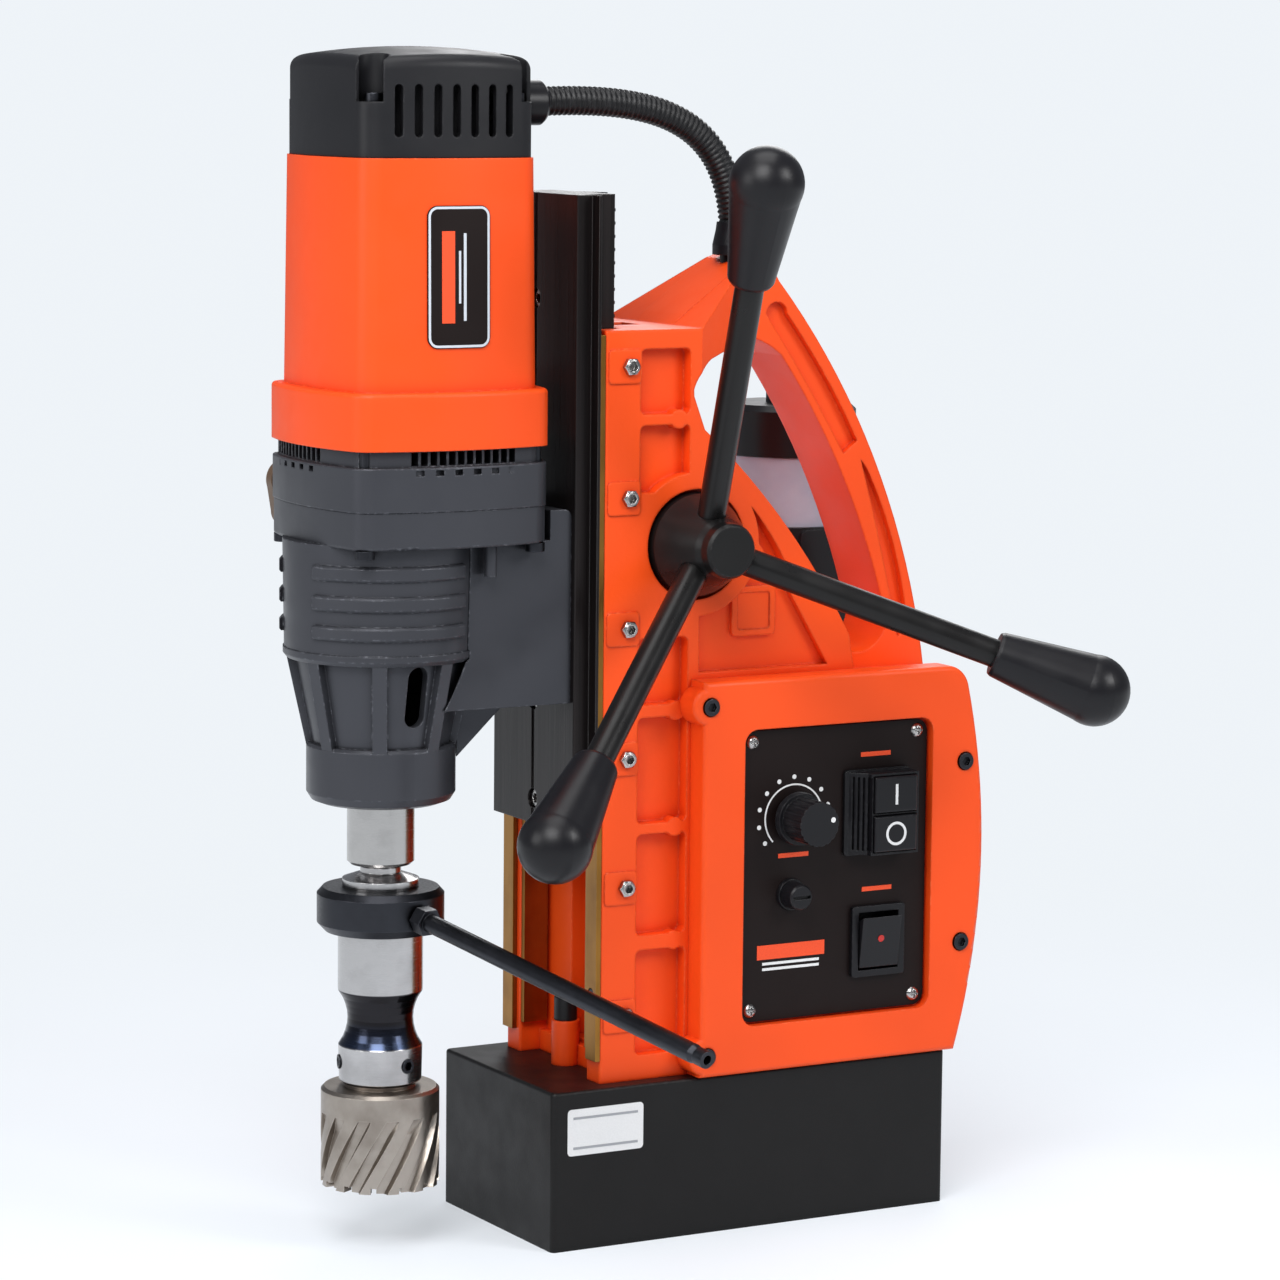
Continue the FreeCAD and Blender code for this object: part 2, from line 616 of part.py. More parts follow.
def magnet_switch_body():
    bezel = round_box((PANEL_X, PANEL_X + 2.5), MAGNET_SWITCH_Y, MAGNET_SWITCH_Z, X_AXIS, 1.5)
    back = box((37, PANEL_X), (MAGNET_SWITCH_Y[0] + 2.5, MAGNET_SWITCH_Y[1] - 2.5),
               (MAGNET_SWITCH_Z[0] + 2.5, MAGNET_SWITCH_Z[1] - 2.5))
    well = box((46, 70), (ROCKER_Y[0] - 0.4, ROCKER_Y[1] + 0.4),
               (ROCKER_Z[0] - 0.8, ROCKER_Z[1] + 0.8))
    middle = (ROCKER_Z[0] + ROCKER_Z[1]) / 2
    pivot_hole = rod(2.5 + RUN_GAP, (ROCKER_AXIS_X, MAGNET_SWITCH_Y[0], middle),
                     (ROCKER_AXIS_X, MAGNET_SWITCH_Y[1], middle))
    return bezel.fuse(back).cut([well, pivot_hole]).removeSplitter()


def magnet_rocker():
    """A rocker with a shallow V face, pivoted on a line along Y."""
    middle = (ROCKER_Z[0] + ROCKER_Z[1]) / 2
    profile = [(54, middle - 8), (60, ROCKER_Z[0] + 0.6), (61.6, middle), (63.4, ROCKER_Z[1] - 1.2),
               (54, middle + 8), (50, middle)]
    wire = Part.makePolygon([V(x, ROCKER_Y[0], z) for x, z in profile + profile[:1]])
    rocker = Part.Face(wire).extrude(V(0, ROCKER_Y[1] - ROCKER_Y[0], 0))
    pivot = rod(2.5, (ROCKER_AXIS_X, ROCKER_Y[0] - 1, middle), (ROCKER_AXIS_X, ROCKER_Y[1] + 1, middle))
    return rocker.fuse(pivot).removeSplitter()


def control_board():
    board = box((-38, -36.4), (0, 90), (110, 230))
    parts = [board]
    for y, z in ((15, 130), (15, 200), (70, 205)):
        parts.append(rod(9, (-36.4, y, z), (-6, y, z)))
    parts.append(box((-36.4, -14), (38, 76), (130, 170)))
    parts.append(box((-36.4, -24), (36, 52), (188, 222)))
    pillars = [rod(3, (-41, y, z), (-38, y, z)) for y in (6, 84) for z in (116, 224)]
    return union(parts + pillars)


# -------------------------------------------------------------- coolant tank

TANK_X = -84.0
TANK_Y = 100.0
TANK_R = 33.0
TANK_Z = (236.0, 388.0)


def tank_bottle():
    low, high = TANK_Z
    outside = turned([(0, low), (TANK_R - 5, low), (TANK_R, low + 5), (TANK_R, high - 26),
                      (0, high - 26)], TANK_Y, TANK_X)
    inside = turned([(0, low + 2), (TANK_R - 7, low + 2), (TANK_R - 2, low + 7),
                     (TANK_R - 2, high - 26), (0, high - 26)], TANK_Y, TANK_X)
    return outside.cut(inside)


def tank_holder():
    """Lid, clamp ring and the arm bolted to the casting's -X wall."""
    high = TANK_Z[1]
    rim = high - 26 + RUN_GAP
    lid = turned([(0, rim), (TANK_R + 1.2, rim), (TANK_R + 1.2, high - 3), (TANK_R - 2, high),
                  (0, high)], TANK_Y, TANK_X)
    filler = turned([(0, high), (12, high), (12, high + 9), (10.5, high + 10.5), (0, high + 10.5)],
                    TANK_Y, TANK_X)
    ring = tube(TANK_R + 3.5, TANK_R + RUN_GAP, (TANK_X, TANK_Y, 278), (TANK_X, TANK_Y, 327))
    post = round_box((-52, -CHEEK_X), (TANK_BOLT_Y - 14, TANK_BOLT_Y + 14), (204, 326), X_AXIS, 4)
    post = post.cut(rod(TANK_R + 0.2, (TANK_X, TANK_Y, 190), (TANK_X, TANK_Y, 340)))
    bolts = []
    for z in TANK_BOLT_ZS:
        bolts.append(rod(2.9, (-50, TANK_BOLT_Y, z), (-41, TANK_BOLT_Y, z)))
    return Part.makeCompound([union([lid, filler]), union([ring, post] + bolts)])


# --------------------------------------------------------------------- slide

SLIDE_HALF = 31.0
PAD_X = 40.7
PAD_FRONT_Y = -92.0
FLANGE_FRONT_Y = -84.0
FLANGE_BACK_Y = STRIP_FRONT_Y - RUN_GAP
SLIDE_BACK_Y = -66.7
RACK_X = 7.0
RACK_BACK_Y = -63.5
RACK_SCREW_TIP_Y = -59.3
RACK_THIN = 0.17               # taken off each flank of the rack teeth for backlash
RACK_SCREW_PITCH = 48.0
BRACKET_X = 37.5
BRACKET_Z = (260.0, 352.0)
FLANGE_HALF = 55.5             # half width of the gearbox flange
FLANGE_Z = 338.0


def rack_screw_heights():
    return [SLIDE_BOTTOM + 12 + RACK_SCREW_PITCH * k for k in range(6)]


def slide_bar():
    z = (SLIDE_BOTTOM, SLIDE_TOP)
    pad = box((-PAD_X, PAD_X), (PAD_FRONT_Y, FLANGE_FRONT_Y), z)
    pad = round_edges(pad, Z_AXIS, 0.8, lambda c: c.y < PAD_FRONT_Y + 1)
    flange = box((-CHEEK_X, CHEEK_X), (FLANGE_FRONT_Y, FLANGE_BACK_Y), z)
    bar = box((-SLIDE_HALF, SLIDE_HALF), (FLANGE_BACK_Y, SLIDE_BACK_Y), z)
    spine = box((-RACK_X - 1, RACK_X + 1), (SLIDE_BACK_Y, RACK_BACK_Y), z)
    slide = union([pad, flange, bar, spine])
    groove = box((-1.5, 1.5), (PAD_FRONT_Y - 1, PAD_FRONT_Y + 1.2), (z[0] - 1, z[1] + 1))
    cuts = [groove]
    for height in rack_screw_heights():
        cuts.append(rod(2.6, (0, -100, height), (0, -50, height)))
        cuts.append(rod(4.8, (0, -100, height), (0, -86.5, height)))
    return slide.cut(cuts)


def rack_outline():
    """Straight-sided rack teeth facing +Y, as (y, z) points."""
    pitch = math.pi * PINION_MODULE
    tip, root = RACK_PITCH_Y + PINION_MODULE, RACK_PITCH_Y - 1.25 * PINION_MODULE
    slope = math.tan(math.radians(20))
    tip_half = pitch / 4 - PINION_MODULE * slope - RACK_THIN
    root_half = pitch / 4 + 1.25 * PINION_MODULE * slope - RACK_THIN
    count = int((SLIDE_TOP - SLIDE_BOTTOM) / pitch) - 1
    points = [(RACK_BACK_Y, SLIDE_BOTTOM), (root, SLIDE_BOTTOM)]
    first = HUB_Z - pitch * math.floor((HUB_Z - SLIDE_BOTTOM - 4) / pitch)
    for k in range(count):
        z = first + pitch * k
        points += [(root, z - root_half), (tip, z - tip_half), (tip, z + tip_half),
                   (root, z + root_half)]
    points += [(root, SLIDE_TOP), (RACK_BACK_Y, SLIDE_TOP)]
    return points


def feed_rack():
    rack = slab_yz(rack_outline(), (-RACK_X, RACK_X))
    for height in rack_screw_heights():
        rack = rack.cut(rod(2.2, (0, RACK_BACK_Y - 1, height), (0, RACK_SCREW_TIP_Y + 0.3, height)))
    return rack


def slide_screws():
    seat_y = PAD_FRONT_Y + 5.5
    length = RACK_SCREW_TIP_Y - seat_y
    return Part.makeCompound([socket_screw((0, seat_y, z), (0, -1, 0), 2.1, length, 4.4, 4.0)
                              for z in rack_screw_heights()])


def motor_bracket():
    """The block that bolts the gearbox to the slide, with a gusset under it."""
    block = box((-BRACKET_X, BRACKET_X), (-165, PAD_FRONT_Y), BRACKET_Z)
    block = round_edges(block, X_AXIS, 4, lambda c: c.y > -100 and c.z > 300)
    gusset = slab_yz([(-150, 262), (-108, 262), (-140, 232), (-150, 232)], (-10, 10))
    room_round_gearbox = turned([(0, 225), (36.2, 225), (36.2, 243), (45.2, 282.5), (46.3, 284),
                                 (46.3, 288.3), (45.8, 288.3), (46.5, 339), (46.5, 356),
                                 (0, 356)], SPINDLE_Y)
    flange_room = box((-60, 60), (-220, MOTOR_Y + FLANGE_HALF + 0.1), (FLANGE_Z - 0.1, 360))
    return union([block, gusset]).cut([room_round_gearbox, flange_room])


# ------------------------------------------------------- gearbox and motor

SIDE_R = 160.0                 # bulge radius of the motor's four sides
CORNER_R = 12.0
PARTING_Z = 355.5
CASE_TOP = 376.0
COLLAR_Z = (383.5, 410.0)
HOUSING_TOP = 516.5
LAY_X = -14.87                 # layshaft axis, 27.5 from the motor and 40 from the spindle
LAY_Y = MOTOR_Y + 23.13
LAY_PINION_Z = (340.0, 353.0)
SPINDLE_R = 16.0
BEARING_R = 24.0
BAND_GAP_X = 17.6              # half width of the plain strip between the barrel's bands
CAP_HALF = 48.6
CAP_TOP = 567.0
CAP_ROOF_Z = 557.0             # underside of the cap's roof
CAP_DOME_R = 300.0
CAP_EDGE_R = 6.0
CAP_SCREW_SEAT_Z = 542.0
CAP_GLAND_Z = 541.0
VENT_COUNT = 7
VENT_PITCH = 9.4
VENT_Z = (526.0, 550.0)
GEARBOX_SCREW_AT = 44.0
CAP_SCREW_AT = 36.1
SELECTOR_Y = MOTOR_Y - 34.8    # two-speed selector on the -X side of the gear case
SELECTOR_Z = 361.5
SELECTOR_FACE_X = -56.0
SELECTOR_STEM_R = 5.0
SELECTOR_ROOT_R = 10.0
SELECTOR_TIP_R = 7.5
SELECTOR_REACH = 15.0
LOUVRE_STARTS = ((0, -24.0), (90, -24.0), (180, -30.0), (270, -40.0))   # side angle, first opening
LOUVRE_COUNT = 12
LOUVRE_PITCH = 4.6
NOTCH_COUNT = 6
NOTCH_PITCH = 9.6


def bulged_square(half, z, grow=0.0):
    """A closed outline with four bulged sides and rounded corners about the motor axis."""
    half = half + grow
    side_r = SIDE_R + grow
    corner_r = max(CORNER_R + grow, 3.0)
    back = side_r - half
    a = side_r - corner_r
    c = (-2 * back + math.sqrt(4 * back ** 2 - 8 * (back ** 2 - a ** 2))) / 4
    touch = V(c + back, c, 0).normalize()
    tangent = V(-back, 0, 0) + touch * side_r
    edges = []
    for k in range(4):
        turn = FreeCAD.Rotation(Z_AXIS, 90 * k)
        centre = V(0, MOTOR_Y, z)
        low = centre + turn.multVec(V(tangent.x, -tangent.y, 0))
        mid = centre + turn.multVec(V(half, 0, 0))
        high = centre + turn.multVec(V(tangent.x, tangent.y, 0))
        corner = centre + turn.multVec(V(c + corner_r / math.sqrt(2), c + corner_r / math.sqrt(2), 0))
        after = centre + turn.multVec(V(tangent.y, tangent.x, 0))
        edges.append(Part.Arc(low, mid, high).toShape())
        edges.append(Part.Arc(high, corner, after).toShape())
    return Part.Wire(edges)


def case_block(half, z, grow=0.0):
    return Part.Face(bulged_square(half, z[0], grow)).extrude(V(0, 0, z[1] - z[0]))


def case_loft(sections, grow=0.0):
    return Part.makeLoft([bulged_square(half, z, grow) for half, z in sections], True)


def circle_edges(shape, z):
    return [e for e in shape.Edges if abs(e.CenterOfMass.z - z) < 0.01 and
            abs(e.BoundBox.ZLength) < 0.01]


def gearbox_screw_spots():
    reach = GEARBOX_SCREW_AT
    return [(sx * reach, MOTOR_Y + sy * reach) for sx in (-1, 1) for sy in (-1, 1)]


def gearbox_lower():
    flange = case_block(FLANGE_HALF, (FLANGE_Z, PARTING_Z))
    flange = flange.makeFillet(1.5, circle_edges(flange, FLANGE_Z))
    barrel = turned([(0, 286), (45.6, 286), (46.4, FLANGE_Z + 1), (0, FLANGE_Z + 1)], SPINDLE_Y)
    lip = turned([(0, 283), (44.5, 283), (46.2, 285), (46.2, 288), (0, 288)], SPINDLE_Y)
    cone = turned([(0, 236), (31, 236), (40.5, 284), (0, 284)], SPINDLE_Y)
    nose = turned([(0, 214), (29, 214), (33, 215.5), (35.2, 219), (35.2, 241), (34, 242.5),
                   (0, 242.5)], SPINDLE_Y)
    parts = [flange, barrel, lip, cone, nose]
    for k in range(8):
        rib = slab_yz([(0, 238), (34.4, 238), (44.6, 284.5), (0, 284.5)], (-3.5, 3.5))
        rib.translate(V(0, SPINDLE_Y, 0))
        rib.rotate(V(0, SPINDLE_Y, 0), Z_AXIS, 18 - 90 + 45 * k)
        parts.append(rib)
    for low, high in ((295.0, 301.5), (308.5, 315.5), (322.5, 329.5)):
        band = turned([(40, low), (47, low), (47.8, low + 1), (47.8, high - 1), (47, high),
                       (40, high)], SPINDLE_Y)
        plain_front = box((-BAND_GAP_X, BAND_GAP_X), (-230, SPINDLE_Y), (low - 1, high + 1))
        plain_back = box((-60, 60), (-150, -80), (low - 1, high + 1))
        parts.append(band.cut([plain_front, plain_back]))
    for sx in (-1, 1):
        parts.append(rod(3, (sx * 43.5, -138, 323), (sx * 43.5, -138, FLANGE_Z + 1)))
    body = union(parts)
    inside = turned([(0, 236), (26, 236), (35, 283), (41, 288), (41, 320), (0, 320)], SPINDLE_Y)
    gear_room = case_block(47.5, (336, PARTING_Z + 1), -0.5)
    gear_room = gear_room.common(rod(62, (0, MOTOR_Y, 330), (0, MOTOR_Y, 360)))
    barrel_room = rod(41, (0, SPINDLE_Y, 334), (0, SPINDLE_Y, 343))
    cuts = [inside, barrel_room, gear_room.common(box((-80, 80), (-260, 0), (342, 360)))]
    cuts.append(rod(15, (LAY_X, LAY_Y, LAY_PINION_Z[0] - 0.5), (LAY_X, LAY_Y, 343)))
    cuts.append(rod(BEARING_R, (0, SPINDLE_Y, 218), (0, SPINDLE_Y, 237)))
    cuts.append(rod(18, (0, SPINDLE_Y, 210), (0, SPINDLE_Y, 220)))
    cuts.append(rod(20, (0, SPINDLE_Y, 319), (0, SPINDLE_Y, 335)))
    cuts.append(rod(5 + RUN_GAP, (LAY_X, LAY_Y, 324), (LAY_X, LAY_Y, 343)))
    cuts.append(slot_x(SPINDLE_Y, (253, 282), 5, (20, 60)))
    for x, y in gearbox_screw_spots():
        cuts.append(rod(2.6, (x, y, FLANGE_Z - 1), (x, y, PARTING_Z + 1)))
    return body.cut(cuts)


def gearbox_upper():
    case = case_block(56, (PARTING_Z, CASE_TOP))
    case = case.makeFillet(0.8, circle_edges(case, CASE_TOP))
    neck = case_block(53, (CASE_TOP - 1, COLLAR_Z[0]))
    body = union([case, neck])
    gear_room = case_block(48, (PARTING_Z - 1, 367), -0.5)
    fan_room = rod(43, (0, MOTOR_Y, 374), (0, MOTOR_Y, 390))
    cuts = [gear_room, fan_room]
    cuts.append(rod(13, (0, MOTOR_Y, 366), (0, MOTOR_Y, 375)))
    cuts.append(rod(5 + RUN_GAP, (LAY_X, LAY_Y, 366), (LAY_X, LAY_Y, 372)))
    for angle, start in LOUVRE_STARTS:
        openings = []
        for k in range(LOUVRE_COUNT):
            low = start + LOUVRE_PITCH * k
            openings.append(box((38, 60), (low, low + LOUVRE_PITCH - 1.2), (376.6, 383)))
        for k in range(NOTCH_COUNT):
            low = start + 1 + NOTCH_PITCH * k
            openings.append(box((53.5, 60), (low, low + 4), (372.2, 374.8)))
        row = union(openings)
        row.rotate(V(0, 0, 0), Z_AXIS, angle)
        row.translate(V(0, MOTOR_Y, 0))
        cuts.append(row)
    for x, y in gearbox_screw_spots():
        cuts.append(rod(2.6, (x, y, PARTING_Z - 1), (x, y, COLLAR_Z[0] + 1)))
    cuts.append(rod(SELECTOR_STEM_R + RUN_GAP, (-60, SELECTOR_Y, SELECTOR_Z),
                    (-45, SELECTOR_Y, SELECTOR_Z)))
    return body.cut(cuts)


def gear_selector():
    """Two-speed selector lever on the -X side of the gear case, hanging down at rest."""
    stem = rod(SELECTOR_STEM_R, (-48, SELECTOR_Y, SELECTOR_Z),
               (SELECTOR_FACE_X, SELECTOR_Y, SELECTOR_Z))
    outside = (SELECTOR_FACE_X - 7.5, SELECTOR_FACE_X)
    root = rod(SELECTOR_ROOT_R, (outside[0], SELECTOR_Y, SELECTOR_Z),
               (outside[1], SELECTOR_Y, SELECTOR_Z))
    tip_z = SELECTOR_Z - SELECTOR_REACH
    tip = rod(SELECTOR_TIP_R, (outside[0], SELECTOR_Y, tip_z), (outside[1], SELECTOR_Y, tip_z))
    blade = slab_yz([(SELECTOR_Y - SELECTOR_ROOT_R, SELECTOR_Z), (SELECTOR_Y - SELECTOR_TIP_R, tip_z),
                     (SELECTOR_Y + SELECTOR_TIP_R, tip_z), (SELECTOR_Y + SELECTOR_ROOT_R, SELECTOR_Z)],
                    outside)
    lever = union([root, tip, blade]).removeSplitter()
    lever = lever.makeChamfer(1.5, [e for e in lever.Edges if e.BoundBox.XMax < outside[0] + 0.01])
    return lever.fuse(stem)


def housing_loft(grow=0.0):
    low, high = COLLAR_Z[0], HOUSING_TOP
    return case_loft([(51.3, low), (49.6, high)], grow)


def motor_housing():
    collar = case_block(56.5, COLLAR_Z)
    collar = collar.makeFillet(2.0, circle_edges(collar, COLLAR_Z[1]))
    body = union([collar, housing_loft()])
    hollow = case_loft([(51.3, COLLAR_Z[0] - 1), (49.8, HOUSING_TOP - 8)], -4.0)
    mouth = rod(20, (0, MOTOR_Y, HOUSING_TOP - 9), (0, MOTOR_Y, HOUSING_TOP + 1))
    cuts = [hollow, mouth]
    for angle in (45, 135, 225, 315):
        port = rod(7, (32, 0, HOUSING_TOP - 9), (32, 0, HOUSING_TOP + 1))
        port.rotate(V(0, 0, 0), Z_AXIS, angle + 45)
        port.translate(V(0, MOTOR_Y, 0))
        cuts.append(port)
    for x, y in gearbox_screw_spots():
        cuts.append(rod(2.6, (x, y, COLLAR_Z[0] - 1), (x, y, 398)))
    return body.cut(cuts)


LABEL_Y = (-174.5, -142.5)
LABEL_Z = (430.0, 495.0)


def motor_label():
    """Blank name plate that follows the bulged side of the housing."""
    area = round_box((30, 70), LABEL_Y, LABEL_Z, X_AXIS, 5)
    return area.common(housing_loft(0.8).cut(housing_loft(0.0)))


def cap_pillars(radius, z):
    """Rods at the four cap screws, run together with rods one step outward."""
    rods = []
    for x, y in cap_screw_spots():
        outward = V(x, y - MOTOR_Y, 0).normalize() * 8
        rods.append(rod(radius, (x, y, z[0]), (x, y, z[1])))
        rods.append(rod(radius, (x + outward.x, y + outward.y, z[0]),
                        (x + outward.x, y + outward.y, z[1])))
    return union(rods)


def motor_cap():
    """The hollow domed cap, with vents in both sides, screw pockets and a bearing cup."""
    outside = case_block(CAP_HALF, (HOUSING_TOP, CAP_TOP + 1))
    dome = ball(CAP_DOME_R, (0, MOTOR_Y, CAP_TOP - CAP_DOME_R))
    outside = outside.common(dome)
    outside = outside.makeFillet(CAP_EDGE_R, [e for e in outside.Edges
                                              if e.CenterOfMass.z > CAP_GLAND_Z + 12])
    hollow = case_block(CAP_HALF, (HOUSING_TOP - 1, CAP_ROOF_Z), -3.5)
    shell = outside.cut(hollow)
    pillars = cap_pillars(9, (HOUSING_TOP, CAP_ROOF_Z + 1)).common(outside)
    air_guide = tube(34, 32, (0, MOTOR_Y, HOUSING_TOP), (0, MOTOR_Y, CAP_ROOF_Z + 1))
    gland_seat = rod(9, (0, MOTOR_Y + 41, CAP_GLAND_Z), (0, MOTOR_Y + 46, CAP_GLAND_Z))
    bearing_cup = tube(16, 11, (0, MOTOR_Y, 545), (0, MOTOR_Y, CAP_ROOF_Z + 1))
    cuts = [cap_pillars(7, (CAP_SCREW_SEAT_Z, CAP_TOP + 5))]
    for side in (-1, 1):
        for k in range(VENT_COUNT):
            y = MOTOR_Y + VENT_PITCH * (k - (VENT_COUNT - 1) / 2)
            cuts.append(slot_x(y, VENT_Z, 2.0, sorted((side * 36, side * 60))))
    for x, y in cap_screw_spots():
        cuts.append(rod(2.6, (x, y, HOUSING_TOP - 1), (x, y, CAP_SCREW_SEAT_Z + 1)))
    cuts.append(rod(6, (0, MOTOR_Y + 30, CAP_GLAND_Z), (0, MOTOR_Y + 70, CAP_GLAND_Z)))
    cuts.append(rod(11, (0, MOTOR_Y, 540), (0, MOTOR_Y, 556.5)))
    return union([shell, pillars, air_guide, gland_seat, bearing_cup]).cut(cuts)


def cap_screw_spots():
    reach = CAP_SCREW_AT
    return [(sx * reach, MOTOR_Y + sy * reach) for sx in (-1, 1) for sy in (-1, 1)]


def motor_screws():
    """Long screws up through the gear case, and the four cap screws."""
    screws = [socket_screw((x, y, FLANGE_Z), (0, 0, -1), 2.5, 56, 4.6, 4.2)
              for x, y in gearbox_screw_spots()]
    screws += [socket_screw((x, y, CAP_SCREW_SEAT_Z), (0, 0, 1), 2.5, 25, 4.4, 4.0)
               for x, y in cap_screw_spots()]
    return Part.makeCompound(screws)


def cap_gland():
    """Gland on the back of the motor cap where the conduit leaves."""
    y = MOTOR_Y + CAP_HALF
    z = CAP_GLAND_Z
    profile = [(y - 4.5, 5.8), (y + 0.05, 5.8), (y + 0.05, 9.2), (y + 6.5, 9.2), (y + 7.5, 10.6),
               (y + 19, 10.6), (y + 20.5, 9.4), (y + 20.5, 0), (y - 4.5, 0)]
    wire = Part.makePolygon([V(0, a, z + r) for a, r in profile + profile[:1]])
    gland = Part.Face(wire).revolve(V(0, 0, z), Y_AXIS, 360)
    cord_way = rod(4.5, (0, y - 10, z), (0, y + 10, z))
    socket = rod(CONDUIT_R + 0.7, (0, y + 7, z), (0, y + 30, z))
    return gland.cut([cord_way, socket])


def motor_stator():
    ring = tube(44.5, 28.5, (0, MOTOR_Y, 412), (0, MOTOR_Y, 470))
    slots = [box((-7, 7), (MOTOR_Y - 38, MOTOR_Y + 38), (411, 471))]
    ring = ring.cut(slots)
    windings = []
    for sign in (-1, 1):
        coil = tube(37, 30, (0, MOTOR_Y, 402), (0, MOTOR_Y, 412))
        windings.append(coil.common(box((-26, 26), (MOTOR_Y + min(0, 40 * sign),
                                                  MOTOR_Y + max(0, 40 * sign)), (400, 415))))
    return Part.makeCompound([union([ring] + windings)])


def brush_gear():
    """Two brush boxes with their carbon brushes, bearing on the commutator."""
    parts = []
    for sign in (-1, 1):
        brush = box((16.3, 34), (MOTOR_Y - 4, MOTOR_Y + 4), (487, 497))
        holder = box((20, 44), (MOTOR_Y - 6, MOTOR_Y + 6), (485, 499)).cut(
            box((19, 34), (MOTOR_Y - 4, MOTOR_Y + 4), (487, 497)))
        for part in (brush, holder):
            parts.append(part if sign > 0 else mirror_x(part))
    return Part.makeCompound(parts)


# ----------------------------------------------------- spindle and armature

def gear(module, teeth, z, centre_x, centre_y, phase=0.0, thin=0.1):
    """A spur gear with straight-flanked teeth."""
    pitch_r = module * teeth / 2
    tip, root = pitch_r + module, pitch_r - 1.2 * module
    quarter = math.pi / (2 * teeth)
    points = []
    for k in range(teeth):
        middle = phase + 2 * math.pi * k / teeth
        for radius, half in ((root, quarter * 1.45), (pitch_r, quarter - thin / pitch_r),
                             (tip, quarter * 0.45)):
            points.append((radius, middle - half))
        for radius, half in ((tip, quarter * 0.45), (pitch_r, quarter - thin / pitch_r),
                             (root, quarter * 1.45)):
            points.append((radius, middle + half))
    corners = [(centre_x + r * math.cos(a), centre_y + r * math.sin(a)) for r, a in points]
    return slab_xy(corners, z)


def mesh_phase(teeth, toward, gap):
    """Phase that puts a tooth (gap False) or a space (gap True) at an angle."""
    step = 2 * math.pi / teeth
    return toward + (step / 2 if gap else 0.0)


SPINDLE_TEETH = 28
STAGE_1_THIN = 0.26            # backlash taken off each flank
STAGE_2_THIN = 0.38
LAY_TEETH = 12
LAY_WHEEL_TEETH = 35
ARMATURE_TEETH = 9
STAGE_1_MODULE = 1.25
STAGE_2_MODULE = 2.0
NOSE_TIP = 184.0
ARBOR_SHANK = (11.8, 10.0)     # taper shank radii, at the spindle nose and at the top
ARBOR_BOTTOM = 79.0
ARBOR_SCREW_Z = 89.0
ARBOR_SCREW_ANGLES = (-105.0, 15.0)
CUTTER_SHANK_R = 9.5
WATER_Z = 162.0                # height of the coolant hole through the arbor


def spindle():
    profile = [(0, NOSE_TIP), (14.5, NOSE_TIP), (SPINDLE_R, NOSE_TIP + 1.5), (SPINDLE_R, 236),
               (13, 240), (13, 318), (12, 319), (12, 352), (0, 352)]
    body = turned(profile, SPINDLE_Y)
    bore = taper(ARBOR_SHANK[0] + 0.02, ARBOR_SHANK[1] + 0.02, (0, SPINDLE_Y, NOSE_TIP),
                 (0, SPINDLE_Y, 252))
    drift = slot_x(SPINDLE_Y, (250, 284), 3.2, (-30, 30))
    return body.cut([bore, drift])


def spindle_gear():
    toward = math.atan2(LAY_Y - SPINDLE_Y, LAY_X)
    wheel = gear(STAGE_2_MODULE, SPINDLE_TEETH, (337, 351), 0, SPINDLE_Y,
                 mesh_phase(SPINDLE_TEETH, toward, False), STAGE_2_THIN)
    return wheel.cut(rod(12, (0, SPINDLE_Y, 330), (0, SPINDLE_Y, 360)))


def arbor():
    """Arbor with a taper shank, a seat for the coolant ring and a waisted body."""
    waist = []
    steps = 8
    for k in range(steps + 1):
        part = k / steps
        z = 97 + 26 * part
        radius = 20.0 - 4.4 * math.sin(math.pi * part) ** 0.8
        waist.append((radius, z))
    profile = [(0, ARBOR_BOTTOM), (18.3, ARBOR_BOTTOM), (19.6, ARBOR_BOTTOM + 1.3)] + waist
    profile += [(20.2, 124), (20.2, 151.5), (17.6, 151.5), (17.6, 174), (18.2, 174),
                (18.2, 177), (9.7, 180), (9.7, 182.5), (ARBOR_SHANK[0], NOSE_TIP),
                (ARBOR_SHANK[1], 250), (0, 250)]
    body = turned(profile, SPINDLE_Y)
    bore = rod(CUTTER_SHANK_R + 0.03, (0, SPINDLE_Y, ARBOR_BOTTOM - 1), (0, SPINDLE_Y, 118))
    pin_bore = rod(4, (0, SPINDLE_Y, 110), (0, SPINDLE_Y, 170))
    water = rod(2.5, (-18, SPINDLE_Y, WATER_Z), (18, SPINDLE_Y, WATER_Z))
    cuts = [bore, pin_bore, water]
    for angle in ARBOR_SCREW_ANGLES:
        hole = rod(3.5, (8, 0, ARBOR_SCREW_Z), (22, 0, ARBOR_SCREW_Z))
        hole.rotate(V(0, 0, 0), Z_AXIS, angle)
        hole.translate(V(0, SPINDLE_Y, 0))
        cuts.append(hole)
    return body.cut(cuts)


def arbor_set_screws():
    screws = []
    for angle in ARBOR_SCREW_ANGLES:
        screw = rod(3.4, (CUTTER_SHANK_R + 0.1, 0, ARBOR_SCREW_Z), (20.4, 0, ARBOR_SCREW_Z))
        screw = screw.cut(hex_prism(4, (17, 0, ARBOR_SCREW_Z), (1, 0, 0), 5))
        screw.rotate(V(0, 0, 0), Z_AXIS, angle)
        screw.translate(V(0, SPINDLE_Y, 0))
        screws.append(screw)
    return Part.makeCompound(screws)


CUTTER_R = 28.2
CUTTER_Z = (30.0, 77.0)
CUTTER_FLUTES = 13


